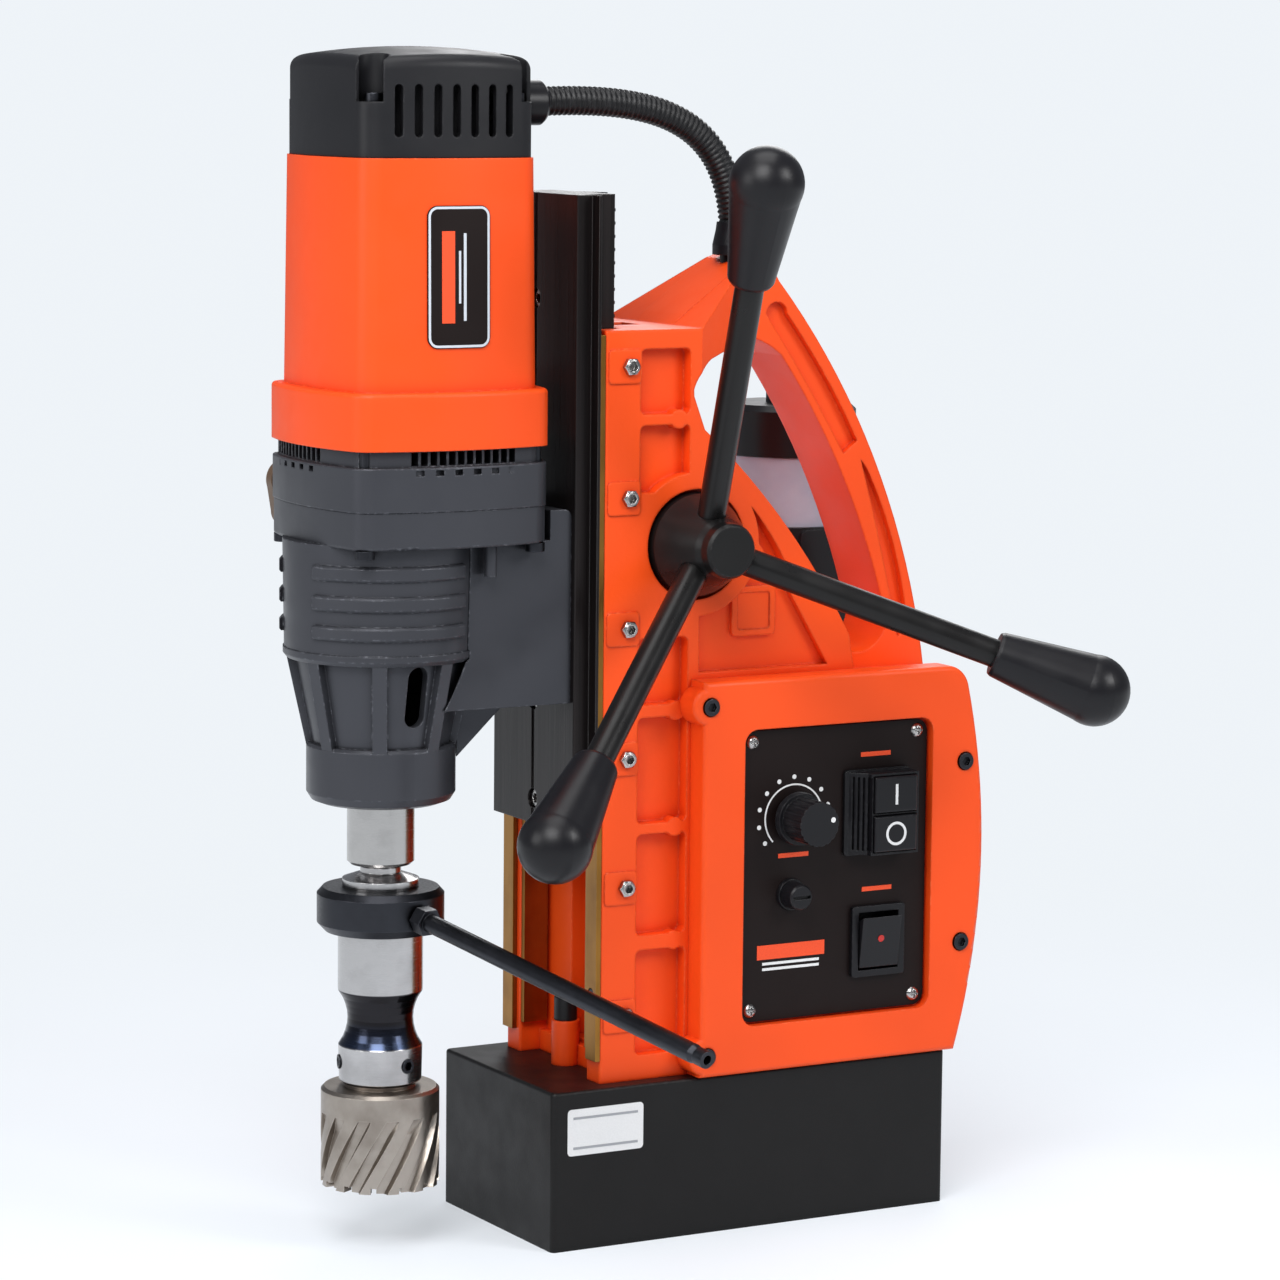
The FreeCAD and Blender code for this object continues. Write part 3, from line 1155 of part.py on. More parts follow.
def cutter_flute(k):
    """One helical gullet, swept as a chain of short lofted sections."""
    sections = []
    steps = 5
    low, high = CUTTER_Z[0] - 1, CUTTER_Z[1] - 12
    for s in range(steps + 1):
        part = s / steps
        z = low + (high - low) * part
        turn = math.radians(360 / CUTTER_FLUTES * k + 42 * part)
        depth = CUTTER_R - 2.8
        if s == steps:
            depth = CUTTER_R - 0.6
        corners = []
        for radius, spread in ((depth, -0.11), (depth, 0.08), (CUTTER_R + 1.5, 0.16),
                               (CUTTER_R + 1.5, -0.12)):
            corners.append(V(radius * math.cos(turn + spread),
                             SPINDLE_Y + radius * math.sin(turn + spread), z))
        sections.append(Part.makePolygon(corners + corners[:1]))
    return Part.makeLoft(sections, True, True)


def annular_cutter():
    low, high = CUTTER_Z
    outside = turned([(0, low), (CUTTER_R, low), (CUTTER_R, high - 1.5), (CUTTER_R - 1.5, high),
                      (0, high)], SPINDLE_Y)
    inside = turned([(0, low - 1), (CUTTER_R - 6, low - 1), (CUTTER_R - 6.5, high - 9),
                     (0, high - 9)], SPINDLE_Y)
    shank = turned([(0, high - 3), (17, high - 3), (17, ARBOR_BOTTOM), (CUTTER_SHANK_R, ARBOR_BOTTOM),
                    (CUTTER_SHANK_R, 111), (0, 111)], SPINDLE_Y)
    cutter = outside.cut(inside).fuse(shank)
    cutter = cutter.cut([cutter_flute(k) for k in range(CUTTER_FLUTES)])
    for k in range(CUTTER_FLUTES):
        notch = box((CUTTER_R - 7, CUTTER_R + 1), (-1.2, 1.2), (low - 1, low + 3))
        notch.rotate(V(0, 0, 0), Z_AXIS, 360 / CUTTER_FLUTES * k - 5)
        notch.translate(V(0, SPINDLE_Y, 0))
        cutter = cutter.cut(notch)
    return cutter.cut(rod(3.2 + RUN_GAP, (0, SPINDLE_Y, low), (0, SPINDLE_Y, 120)))


def pilot_pin():
    return turned([(0, 33), (3.2, 37), (3.2, 112), (3.9, 112.2), (3.9, 118), (0, 118)], SPINDLE_Y)


def armature_shaft():
    toward = math.atan2(LAY_Y - MOTOR_Y, LAY_X)
    pinion = gear(STAGE_1_MODULE, ARMATURE_TEETH, (356.5, 366), 0, MOTOR_Y,
                  mesh_phase(ARMATURE_TEETH, toward, False), STAGE_1_THIN)
    shaft = turned([(0, 366), (6, 366), (6, 556), (0, 556)], MOTOR_Y)
    return pinion.fuse(shaft).removeSplitter()


def armature_core():
    """Slotted laminations, end windings and the commutator, pressed on the shaft."""
    core = rod(27.5, (0, MOTOR_Y, 412), (0, MOTOR_Y, 470))
    for k in range(12):
        slot = box((22, 30), (-1.4, 1.4), (411, 471))
        slot.rotate(V(0, 0, 0), Z_AXIS, 30 * k)
        slot.translate(V(0, MOTOR_Y, 0))
        core = core.cut(slot)
    windings = [turned([(6, 400), (21, 402), (23, 412), (6, 412)], MOTOR_Y),
                turned([(6, 470), (23, 470), (19, 482), (15, 484), (6, 484)], MOTOR_Y)]
    commutator = turned([(6, 483), (16, 483), (16, 501), (6, 501)], MOTOR_Y)
    for k in range(24):
        cut = box((14.5, 17), (-0.35, 0.35), (485, 502))
        cut.rotate(V(0, 0, 0), Z_AXIS, 15 * k)
        cut.translate(V(0, MOTOR_Y, 0))
        commutator = commutator.cut(cut)
    core = union([core, commutator] + windings)
    return core.cut(rod(6, (0, MOTOR_Y, 390), (0, MOTOR_Y, 510)))


def cooling_fan():
    hub = tube(14, 6, (0, MOTOR_Y, 377), (0, MOTOR_Y, 391))
    plate = tube(41, 6, (0, MOTOR_Y, 389), (0, MOTOR_Y, 391))
    parts = [hub, plate]
    for k in range(11):
        blade = box((13, 41), (-0.9, 0.9), (378, 390))
        blade.rotate(V(0, 0, 0), Z_AXIS, 360 / 11 * k)
        blade.translate(V(0, MOTOR_Y, 0))
        parts.append(blade)
    return union(parts)


def layshaft():
    """Layshaft with its wheel (driven) and pinion (driving)."""
    to_spindle = math.atan2(SPINDLE_Y - LAY_Y, -LAY_X)
    to_motor = math.atan2(MOTOR_Y - LAY_Y, -LAY_X)
    pinion = gear(STAGE_2_MODULE, LAY_TEETH, LAY_PINION_Z, LAY_X, LAY_Y,
                  mesh_phase(LAY_TEETH, to_spindle, True), STAGE_2_THIN)
    wheel = gear(STAGE_1_MODULE, LAY_WHEEL_TEETH, (357.5, 364.5), LAY_X, LAY_Y,
                 mesh_phase(LAY_WHEEL_TEETH, to_motor, True), STAGE_1_THIN)
    shaft = rod(5, (LAY_X, LAY_Y, 325), (LAY_X, LAY_Y, 371))
    collar = rod(8, (LAY_X, LAY_Y, 353), (LAY_X, LAY_Y, 357.5))
    return union([pinion, wheel, shaft, collar])


def carriage_bearings():
    """Plain bearing rings: two on the spindle and two on the armature."""
    rings = [tube(BEARING_R, SPINDLE_R + RUN_GAP, (0, SPINDLE_Y, 220), (0, SPINDLE_Y, 234)),
             tube(20, 13 + RUN_GAP, (0, SPINDLE_Y, 320), (0, SPINDLE_Y, 334)),
             tube(13, 6 + RUN_GAP, (0, MOTOR_Y, 367), (0, MOTOR_Y, 374)),
             tube(11, 6 + RUN_GAP, (0, MOTOR_Y, 546), (0, MOTOR_Y, 555))]
    return Part.makeCompound(rings)


# --------------------------------------------------------------- coolant ring

RING_Z = (152.0, 173.0)
RING_R = 30.2
PIPE_TURN = 11.0               # degrees from +X toward +Y
PIPE_DROP = 8.75               # degrees below level
PIPE_LENGTH = 208.0
PIPE_R = 4.4


def pipe_way():
    turn, drop = math.radians(PIPE_TURN), math.radians(PIPE_DROP)
    return V(math.cos(turn) * math.cos(drop), math.sin(turn) * math.cos(drop), -math.sin(drop))


def pipe_point(distance):
    turn = math.radians(PIPE_TURN)
    start = V(RING_R * math.cos(turn), SPINDLE_Y + RING_R * math.sin(turn), WATER_Z)
    return start + pipe_way() * distance


def coolant_ring():
    low, high = RING_Z
    low = low + 0.2
    inner = 17.6 + RUN_GAP
    ring = turned([(inner, low), (26.5, low), (RING_R, low + 4), (RING_R, high - 3),
                   (27.5, high), (inner, high)], SPINDLE_Y)
    groove = tube(19.6, inner - 1, (0, SPINDLE_Y, WATER_Z - 4), (0, SPINDLE_Y, WATER_Z + 4))
    start, end = pipe_point(-14), pipe_point(2)
    return ring.cut([groove, rod(4.5, tuple(start), tuple(end))])


def coolant_pipe():
    """Hex fitting, the straight feed pipe and its open tail."""
    way = pipe_way()
    screw = rod(4.4, tuple(pipe_point(-8)), tuple(pipe_point(3)))
    nut = hex_prism(12, tuple(pipe_point(1.2)), tuple(way), 7)
    pipe = rod(PIPE_R, tuple(pipe_point(6)), tuple(pipe_point(PIPE_LENGTH - 9)))
    barb = taper(4.4, 3.4, tuple(pipe_point(PIPE_LENGTH - 9)), tuple(pipe_point(PIPE_LENGTH - 6)))
    tail = rod(4.0, tuple(pipe_point(PIPE_LENGTH - 6)), tuple(pipe_point(PIPE_LENGTH)))
    neck = rod(3.4, tuple(pipe_point(PIPE_LENGTH - 7)), tuple(pipe_point(PIPE_LENGTH - 5)))
    whole = union([screw, nut, pipe, barb, neck, tail])
    return whole.cut(rod(2.2, tuple(pipe_point(-9)), tuple(pipe_point(PIPE_LENGTH + 1))))


# ---------------------------------------------------------------- feed handle

ARM_ANGLES = (-7.5, 112.5, 227.0)    # degrees from +Z toward +Y
ARM_LEAN = 27.0                      # degrees the arms lean out from the hub's plane
ARM_ROOT_X = 57.1                    # where the arms' axes meet the hub axis
ARM_R = 6.8
GRIP_START = 146.0
GRIP_END = 214.0
GRIP_BALL_R = 17.2


def arm_way(angle):
    turn, lean = math.radians(angle), math.radians(ARM_LEAN)
    return V(math.sin(lean), math.cos(lean) * math.sin(turn), math.cos(lean) * math.cos(turn))


def arm_point(angle, distance):
    return V(ARM_ROOT_X, HUB_Y, HUB_Z) + arm_way(angle) * distance


def feed_shaft():
    """The pinion shaft, with the pinion that drives the rack."""
    shaft = rod(SHAFT_R, (-52, HUB_Y, HUB_Z), (44, HUB_Y, HUB_Z))
    pinion = gear(PINION_MODULE, PINION_TEETH, (-RACK_X - 1, RACK_X + 1), 0, 0,
                  mesh_phase(PINION_TEETH, math.pi, True), 0.17)
    pinion.rotate(V(0, 0, 0), Y_AXIS, 90)
    pinion.rotate(V(0, 0, 0), X_AXIS, 90)
    pinion.translate(V(0, HUB_Y, HUB_Z))
    ring = rod(12.5, (-52, HUB_Y, HUB_Z), (-48, HUB_Y, HUB_Z))
    return union([shaft, pinion, ring])


def feed_hub():
    """The conical hub with three bores for the arms."""
    profile = [(41, 0), (41, 24), (44, 25), (50, 24.5), (72, 15), (75, 13.4), (80, 13.0),
               (81.5, 11.8), (81.5, 0)]
    hub = turned_x(profile, HUB_Y, HUB_Z)
    bore = rod(SHAFT_R, (40, HUB_Y, HUB_Z), (44, HUB_Y, HUB_Z))
    arms = [rod(ARM_R, tuple(arm_point(a, 9)), tuple(arm_point(a, 60))) for a in ARM_ANGLES]
    return hub.cut([bore] + arms)


def feed_arms():
    return Part.makeCompound([rod(ARM_R, tuple(arm_point(a, 12)), tuple(arm_point(a, GRIP_START + 40)))
                              for a in ARM_ANGLES])


def feed_grips():
    """Three pear-shaped grips."""
    grips = []
    ball_at = GRIP_END - GRIP_BALL_R
    for angle in ARM_ANGLES:
        start, rim = arm_point(angle, GRIP_START), arm_point(angle, GRIP_START + 1.5)
        middle = arm_point(angle, ball_at)
        grip = union([taper(10.2, 11.0, tuple(start), tuple(rim)),
                      taper(11.0, GRIP_BALL_R - 0.1, tuple(rim), tuple(middle)),
                      ball(GRIP_BALL_R, tuple(middle))])
        hole = rod(ARM_R, tuple(arm_point(angle, GRIP_START - 1)),
                   tuple(arm_point(angle, GRIP_START + 40)))
        grips.append(grip.cut(hole))
    return Part.makeCompound(grips)


# -------------------------------------------------------------------- conduit

def cable_conduit():
    """Flexible conduit from the motor cap to the top of the handle."""
    start = V(0, MOTOR_Y + 56, 541)
    bend = V(0, APEX[0] - 2 - 26, 537)
    corner = V(0, APEX[0] - 2 - 5, 529)
    turn_end = V(0, APEX[0] - 2, 508)
    end = V(0, APEX[0] - 2, CONDUIT_END_Z)
    first = Part.makeLine(start, bend)
    turn = Part.Arc(bend, corner, turn_end).toShape()
    last = Part.makeLine(turn_end, end)
    path = Part.Wire([first, turn, last])
    way = (bend - start).normalize()
    section = Part.Wire([Part.Edge(Part.Circle(start, way, CONDUIT_R))])
    return path.makePipeShell([section], True, False, 2)


NODES = {
    "magnet_body": magnet_body,
    "magnet_coil": magnet_coil,
    "magnet_potting": magnet_potting,
    "base_bolts": base_bolts,
    "frame_casting": frame_casting,
    "gib_strips": gib_strips,
    "gib_strip_screws": gib_strip_screws,
    "side_gibs": side_gibs,
    "gib_set_screws": gib_set_screws,
    "slide_bumper": slide_bumper,
    "pinion_bushes": pinion_bushes,
    "frame_gland": frame_gland,
    "electronics_cover": electronics_cover,
    "cover_screws": cover_screws,
    "control_panel": control_panel,
    "panel_screws": panel_screws,
    "speed_control_body": speed_control_body,
    "fuse_holder_body": fuse_holder_body,
    "motor_switch_body": motor_switch_body,
    "magnet_switch_body": magnet_switch_body,
    "control_board": control_board,
    "tank_bottle": tank_bottle,
    "tank_holder": tank_holder,
    "cable_conduit": cable_conduit,
    "slide_bar": slide_bar,
    "feed_rack": feed_rack,
    "slide_screws": slide_screws,
    "motor_bracket": motor_bracket,
    "gearbox_lower": gearbox_lower,
    "gearbox_upper": gearbox_upper,
    "motor_screws": motor_screws,
    "motor_housing": motor_housing,
    "motor_label": motor_label,
    "motor_cap": motor_cap,
    "cap_gland": cap_gland,
    "motor_stator": motor_stator,
    "brush_gear": brush_gear,
    "carriage_bearings": carriage_bearings,
    "spindle": spindle,
    "spindle_gear": spindle_gear,
    "arbor": arbor,
    "arbor_set_screws": arbor_set_screws,
    "annular_cutter": annular_cutter,
    "pilot_pin": pilot_pin,
    "armature_shaft": armature_shaft,
    "armature_core": armature_core,
    "cooling_fan": cooling_fan,
    "layshaft": layshaft,
    "coolant_ring": coolant_ring,
    "coolant_pipe": coolant_pipe,
    "feed_shaft": feed_shaft,
    "feed_hub": feed_hub,
    "feed_arms": feed_arms,
    "feed_grips": feed_grips,
    "speed_knob": speed_knob,
    "motor_off_button": lambda: push_button(button_spans()[0], SWITCH_FACE_X + 1.5),
    "motor_on_button": lambda: push_button(button_spans()[1], SWITCH_FACE_X + 1.5),
    "magnet_rocker": magnet_rocker,
    "fuse_cap": fuse_cap,
    "gear_selector": gear_selector,
}

os.makedirs("parts", exist_ok=True)
for name, make in NODES.items():
    shape = make()
    solids = shape.Solids
    print(name, "solids", len(solids), "valid", shape.isValid(), "volume", round(shape.Volume, 1))
    shape.exportStep("parts/" + name + ".step")
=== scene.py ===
import json
import math

import bpy
from mathutils import Matrix, Vector
from mathutils.bvhtree import BVHTree


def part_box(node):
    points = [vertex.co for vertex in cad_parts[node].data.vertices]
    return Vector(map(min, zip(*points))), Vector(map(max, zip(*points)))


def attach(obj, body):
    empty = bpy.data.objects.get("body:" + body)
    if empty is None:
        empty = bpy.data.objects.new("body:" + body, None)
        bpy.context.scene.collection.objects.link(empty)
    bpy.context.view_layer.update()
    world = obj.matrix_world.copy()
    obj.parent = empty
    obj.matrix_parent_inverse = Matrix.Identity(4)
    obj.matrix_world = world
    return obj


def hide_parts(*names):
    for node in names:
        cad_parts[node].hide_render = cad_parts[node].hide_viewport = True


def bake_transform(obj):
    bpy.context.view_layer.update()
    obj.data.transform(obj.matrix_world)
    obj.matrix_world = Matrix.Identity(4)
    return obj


# Looks of the magnetic drill press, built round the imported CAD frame.
# Metres, +Z up, feed arms and control panel on the +X side, motor toward -Y.

MM = 0.001

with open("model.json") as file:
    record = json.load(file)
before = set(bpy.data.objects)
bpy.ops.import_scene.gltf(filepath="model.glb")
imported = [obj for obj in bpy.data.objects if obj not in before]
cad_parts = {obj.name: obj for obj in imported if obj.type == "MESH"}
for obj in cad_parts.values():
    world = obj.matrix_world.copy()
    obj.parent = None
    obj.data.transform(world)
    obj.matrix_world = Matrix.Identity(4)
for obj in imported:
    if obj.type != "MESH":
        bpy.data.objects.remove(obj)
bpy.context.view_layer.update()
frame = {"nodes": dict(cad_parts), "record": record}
NODES = frame["nodes"]
SLOT_OF = {part["node"]: part["material_slot"] for part in frame["record"]["subparts"]}


# ------------------------------------------------------------------ materials

NORMAL_SAMPLES = 4                  # rays for each rounded edge and each dark corner
MIX_SHARE, MIX_A, MIX_B, MIX_RESULT = 0, 6, 7, 2    # colour sockets of a Mix node
NARROW, WIDE = (0.35, 0.65), (0.3, 0.7)             # parts of a noise that fill the full range


class Look:
    """A procedural material built round one Principled shader."""

    def __init__(self, name):
        self.material = bpy.data.materials.new(name)
        self.material.use_nodes = True
        self.nodes = self.material.node_tree.nodes
        self.links = self.material.node_tree.links
        self.surface = self.nodes["Principled BSDF"]
        self.place = self.nodes.new("ShaderNodeTexCoord").outputs["Object"]

    def feed(self, socket, value):
        """Links value to socket if it is an output, or sets it as a plain value."""
        if isinstance(value, bpy.types.NodeSocket):
            self.links.new(value, socket)
        elif isinstance(value, tuple) and len(value) == 3 and socket.type == "RGBA":
            socket.default_value = (*value, 1.0)
        else:
            socket.default_value = value

    def node(self, kind, inputs=None, **settings):
        """Adds a shader node; inputs are fed by name or number, settings are its properties."""
        made = self.nodes.new(kind)
        for key, value in settings.items():
            setattr(made, key, value)
        for key, value in (inputs or {}).items():
            self.feed(made.inputs[key], value)
        return made

    def set(self, **values):
        """Feeds Principled inputs; underscores stand for spaces."""
        for key, value in values.items():
            self.feed(self.surface.inputs[key.replace("_", " ")], value)

    def stretched(self, x, y, z):
        """Object coordinates scaled per axis, for grain that runs one way."""
        scaled = self.node("ShaderNodeMapping", {"Vector": self.place, "Scale": (x, y, z)})
        return scaled.outputs[0]

    def noise(self, scale, detail=3.0, place=None):
        """Noise with scale waves per metre."""
        found = self.node("ShaderNodeTexNoise", {"Vector": place or self.place,
                                                 "Scale": scale, "Detail": detail})
        return found.outputs[0]

    def math(self, operation, a, b=0.0):
        return self.node("ShaderNodeMath", {0: a, 1: b}, operation=operation).outputs[0]

    def spread(self, value, low, high, to_low=0.0, to_high=1.0):
        """Maps low..high to to_low..to_high, clamped."""
        return self.node("ShaderNodeMapRange", {"Value": value, "From Min": low, "From Max": high,
                                                "To Min": to_low, "To Max": to_high}).outputs[0]

    def mix(self, share, a, b):
        """A colour between a and b."""
        made = self.node("ShaderNodeMix", data_type="RGBA")
        self.feed(made.inputs[MIX_SHARE], share)
        self.feed(made.inputs[MIX_A], a)
        self.feed(made.inputs[MIX_B], b)
        return made.outputs[MIX_RESULT]

    def rounded(self, radius):
        """A normal that softens every edge nearer than radius."""
        return self.node("ShaderNodeBevel", {"Radius": radius}, samples=NORMAL_SAMPLES).outputs[0]

    def edges(self, radius, sharp=0.93, soft=0.995):
        """1 on edges, 0 on flat faces."""
        soft_normal = self.rounded(radius)
        true_normal = self.node("ShaderNodeNewGeometry").outputs["True Normal"]
        facing = self.node("ShaderNodeVectorMath", {0: soft_normal, 1: true_normal},
                           operation="DOT_PRODUCT").outputs["Value"]
        return self.spread(facing, soft, sharp)

    def corners(self, distance):
        """0 in tight corners and recesses, 1 in the open; a mask for painted shade."""
        return self.node("ShaderNodeAmbientOcclusion", {"Distance": distance},
                         samples=NORMAL_SAMPLES).outputs["AO"]

    def bump(self, height, distance, strength=1.0, normal=None):
        """A normal roughened by height, on top of another normal if one is given."""
        inputs = {"Height": height, "Distance": distance, "Strength": strength}
        if normal is not None:
            inputs["Normal"] = normal
        return self.node("ShaderNodeBump", inputs).outputs[0]

    def height(self):
        """The Z coordinate in the frame."""
        return self.node("ShaderNodeSeparateXYZ", {0: self.place}).outputs["Z"]


def shaded(colour, share):
    """A darker or lighter copy of a colour."""
    return tuple(min(1.0, channel * share) for channel in colour)


DRIFT_SCALE, DRIFT_SHADE = 14.0, 0.93       # slow change of colour across a part
# Painted shade in corners and recesses: how far it reaches, and the range of its mask.
CORNER_REACH, CORNER_RANGE = 6 * MM, (0.25, 0.85)
WEAR_AND_HIGHLIGHT_WIDTH, WEAR_AND_HIGHLIGHT_SHARE = 1.1 * MM, 0.55     # rubbed edges, lighter from wear and a painted highlight
SCUFF_SCALE, SCUFF_RANGE = 420.0, (0.52, 0.66)
PATCH_SCALE = 55.0                          # handled and unhandled patches
SHINIER, DULLER = 0.05, 0.07                # how far patches leave the mean roughness
FINER, SHALLOWER = 4.5, 0.3                 # the second grain, beside the first


def painted(name, colour, corner_shade, lighter_edge, roughness, edge_radius, grain, grain_depth, metal=0.0,
            shine=0.35):
    """Paint or moulded skin: colour drifts a little, painted shade darkens corners, and edges are
    lighter from wear and a painted highlight.
    """
    look = Look(name)
    drift = look.spread(look.noise(DRIFT_SCALE, 2.0), *NARROW)
    base = look.mix(drift, colour, shaded(colour, DRIFT_SHADE))
    # Painted shade: corners and recesses are mixed toward the darker colour.
    shade = look.spread(look.corners(CORNER_REACH), *CORNER_RANGE)
    base = look.mix(shade, corner_shade, base)
    scuffs = look.spread(look.noise(SCUFF_SCALE, 4.0), *SCUFF_RANGE)
    # Lighter edges: partly wear picked out by scuffs, partly a painted highlight.
    wear_and_highlight = look.math("MULTIPLY", look.edges(WEAR_AND_HIGHLIGHT_WIDTH), scuffs)
    base = look.mix(look.math("MULTIPLY", wear_and_highlight, WEAR_AND_HIGHLIGHT_SHARE), base, lighter_edge)
    patches = look.spread(look.noise(PATCH_SCALE, 5.0), *WIDE,
                          roughness - SHINIER, roughness + DULLER)
    skin = look.bump(look.noise(grain, 2.0), grain_depth, 0.6, look.rounded(edge_radius))
    fine = look.bump(look.noise(grain * FINER, 2.0), grain_depth * SHALLOWER, 0.4, skin)
    look.set(Base_Color=base, Roughness=patches, Metallic=metal, Normal=fine,
             Specular_IOR_Level=shine)
    return look


def cast_orange():
    look = painted("cast_orange", colour=(0.90, 0.078, 0.006), corner_shade=(0.62, 0.028, 0.001),
                   lighter_edge=(1.0, 0.20, 0.06), roughness=0.42, edge_radius=1.6 * MM,
                   grain=520.0, grain_depth=0.09 * MM, shine=0.26)
    look.set(Coat_Weight=0.05, Coat_Roughness=0.3)
    return look.material


def moulded_orange():
    look = painted("moulded_orange", colour=(0.90, 0.080, 0.008), corner_shade=(0.64, 0.032, 0.002),
                   lighter_edge=(1.0, 0.22, 0.08), roughness=0.40, edge_radius=1.2 * MM,
                   grain=1500.0, grain_depth=0.02 * MM, shine=0.26)
    look.set(Coat_Weight=0.05, Coat_Roughness=0.35)
    return look.material


def black_enamel():
    return painted("black_enamel", colour=(0.0075, 0.007, 0.007), corner_shade=(0.003, 0.003, 0.003),
                   lighter_edge=(0.10, 0.098, 0.095), roughness=0.42, edge_radius=1.0 * MM,
                   grain=900.0, grain_depth=0.06 * MM, shine=0.22).material


def grey_cast():
    return painted("grey_cast", colour=(0.060, 0.062, 0.072), corner_shade=(0.012, 0.012, 0.015),
                   lighter_edge=(0.26, 0.27, 0.30), roughness=0.36, edge_radius=0.9 * MM,
                   grain=1300.0, grain_depth=0.03 * MM, metal=0.5).material


def black_plastic():
    return painted("black_plastic", colour=(0.0075, 0.0072, 0.009), corner_shade=(0.002, 0.002, 0.0025),
                   lighter_edge=(0.04, 0.04, 0.045), roughness=0.33, edge_radius=0.8 * MM,
                   grain=1800.0, grain_depth=0.02 * MM, shine=0.28).material


def cap_plastic():
    return painted("cap_plastic", colour=(0.011, 0.011, 0.013), corner_shade=(0.001, 0.001, 0.001),
                   lighter_edge=(0.05, 0.05, 0.055), roughness=0.42, edge_radius=1.2 * MM,
                   grain=1100.0, grain_depth=0.035 * MM, shine=0.28).material


def satin_black():
    return painted("satin_black", colour=(0.0085, 0.008, 0.008), corner_shade=(0.003, 0.003, 0.003),
                   lighter_edge=(0.06, 0.06, 0.062), roughness=0.31, edge_radius=0.9 * MM,
                   grain=700.0, grain_depth=0.03 * MM, metal=0.1, shine=0.3).material


def black_rubber():
    return painted("black_rubber", colour=(0.008, 0.008, 0.009), corner_shade=(0.002, 0.002, 0.002),
                   lighter_edge=(0.04, 0.04, 0.042), roughness=0.4, edge_radius=0.5 * MM,
                   grain=1600.0, grain_depth=0.03 * MM, shine=0.3).material


def panel_film():
    return painted("panel_film", colour=(0.0085, 0.004, 0.0035), corner_shade=(0.004, 0.002, 0.002),
                   lighter_edge=(0.03, 0.03, 0.03), roughness=0.5, edge_radius=0.5 * MM,
                   grain=2600.0, grain_depth=0.012 * MM, shine=0.18).material


def brown_moulding():
    return painted("brown_moulding", colour=(0.115, 0.070, 0.042), corner_shade=(0.04, 0.022, 0.014),
                   lighter_edge=(0.22, 0.15, 0.10), roughness=0.4, edge_radius=0.8 * MM,
                   grain=900.0, grain_depth=0.03 * MM).material


def potting_resin():
    return painted("potting_resin", colour=(0.05, 0.042, 0.036), corner_shade=(0.02, 0.018, 0.016),
                   lighter_edge=(0.12, 0.11, 0.10), roughness=0.5, edge_radius=0.5 * MM,
                   grain=500.0, grain_depth=0.06 * MM).material


def green_board():
    return painted("green_board", colour=(0.03, 0.15, 0.06), corner_shade=(0.01, 0.05, 0.02),
                   lighter_edge=(0.3, 0.3, 0.22), roughness=0.4, edge_radius=0.4 * MM,
                   grain=900.0, grain_depth=0.03 * MM).material


def print_ink(name, colour, roughness=0.5):
    """Screen-printed ink, a little uneven."""
    look = Look(name)
    thin = look.spread(look.noise(2600.0, 3.0), *WIDE)
    base = look.mix(thin, colour, shaded(colour, 0.86))
    look.set(Base_Color=base, Roughness=roughness,
             Normal=look.bump(look.noise(3200.0, 2.0), 0.01 * MM, 0.4))
    return look.material


def black_slide():
    """Ground and black-anodised bar, with fine vertical grinding lines."""
    look = Look("black_slide")
    lines = look.noise(1.0, 3.0, look.stretched(2600.0, 2600.0, 14.0))
    tone = look.spread(look.noise(1.0, 2.0, look.stretched(300.0, 300.0, 4.0)), *NARROW)
    base = look.mix(tone, (0.008, 0.006, 0.006), (0.014, 0.010, 0.010))
    lighter_edge = look.math("MULTIPLY", look.edges(0.8 * MM, 0.9, 0.99), 0.5)
    base = look.mix(lighter_edge, base, (0.12, 0.115, 0.115))
    rough = look.spread(lines, *WIDE, 0.26, 0.42)
    normal = look.bump(lines, 0.012 * MM, 0.5, look.rounded(0.6 * MM))
    look.set(Base_Color=base, Metallic=0.55, Roughness=rough, Normal=normal)
    return look.material


RUBBED_WIDTH, RUBBED_SHARE, RUBBED_LIGHTER = 0.7 * MM, 0.5, 1.35    # bright edges of bare metal


def bare_metal(name, colour, tarnish_and_corner_shade, roughness, grain, edge_radius=0.5 * MM, tarnish=0.35):
    """Machined metal: cutting lines, faint tarnish, and painted shade that darkens corners. grain
    is (x, y, z).
    """
    look = Look(name)
    lines = look.noise(1.0, 4.0, look.stretched(*grain))
    stained = look.spread(look.noise(38.0, 5.0), 0.42, 0.72, 0.0, tarnish)
    base = look.mix(stained, colour, tarnish_and_corner_shade)
    # Painted shade: corners and recesses are mixed toward the darker colour.
    base = look.mix(look.spread(look.corners(3 * MM), 0.2, 0.8), tarnish_and_corner_shade, base)
    bright = look.math("MULTIPLY", look.edges(RUBBED_WIDTH, 0.9, 0.99), RUBBED_SHARE)
    base = look.mix(bright, base, shaded(colour, RUBBED_LIGHTER))
    rough = look.spread(lines, *WIDE, roughness - 0.05, roughness + 0.08)
    normal = look.bump(lines, 0.01 * MM, 0.45, look.rounded(edge_radius))
    look.set(Base_Color=base, Metallic=1.0, Roughness=rough, Normal=normal)
    return look


TURNED = (90.0, 90.0, 5200.0)      # rings round a vertical axis
MILLED = (2200.0, 2200.0, 60.0)    # lines along Z


def ground_steel():
    return bare_metal("ground_steel", colour=(0.50, 0.49, 0.48), tarnish_and_corner_shade=(0.08, 0.075, 0.07),
                      roughness=0.2, grain=TURNED).material


WAIST_LOW, WAIST_HIGH = 18 * MM, 45 * MM    # the arbor's blued waist, above its foot
WAIST_EDGE, WAIST_FADE = 0.6 * MM, 12 * MM


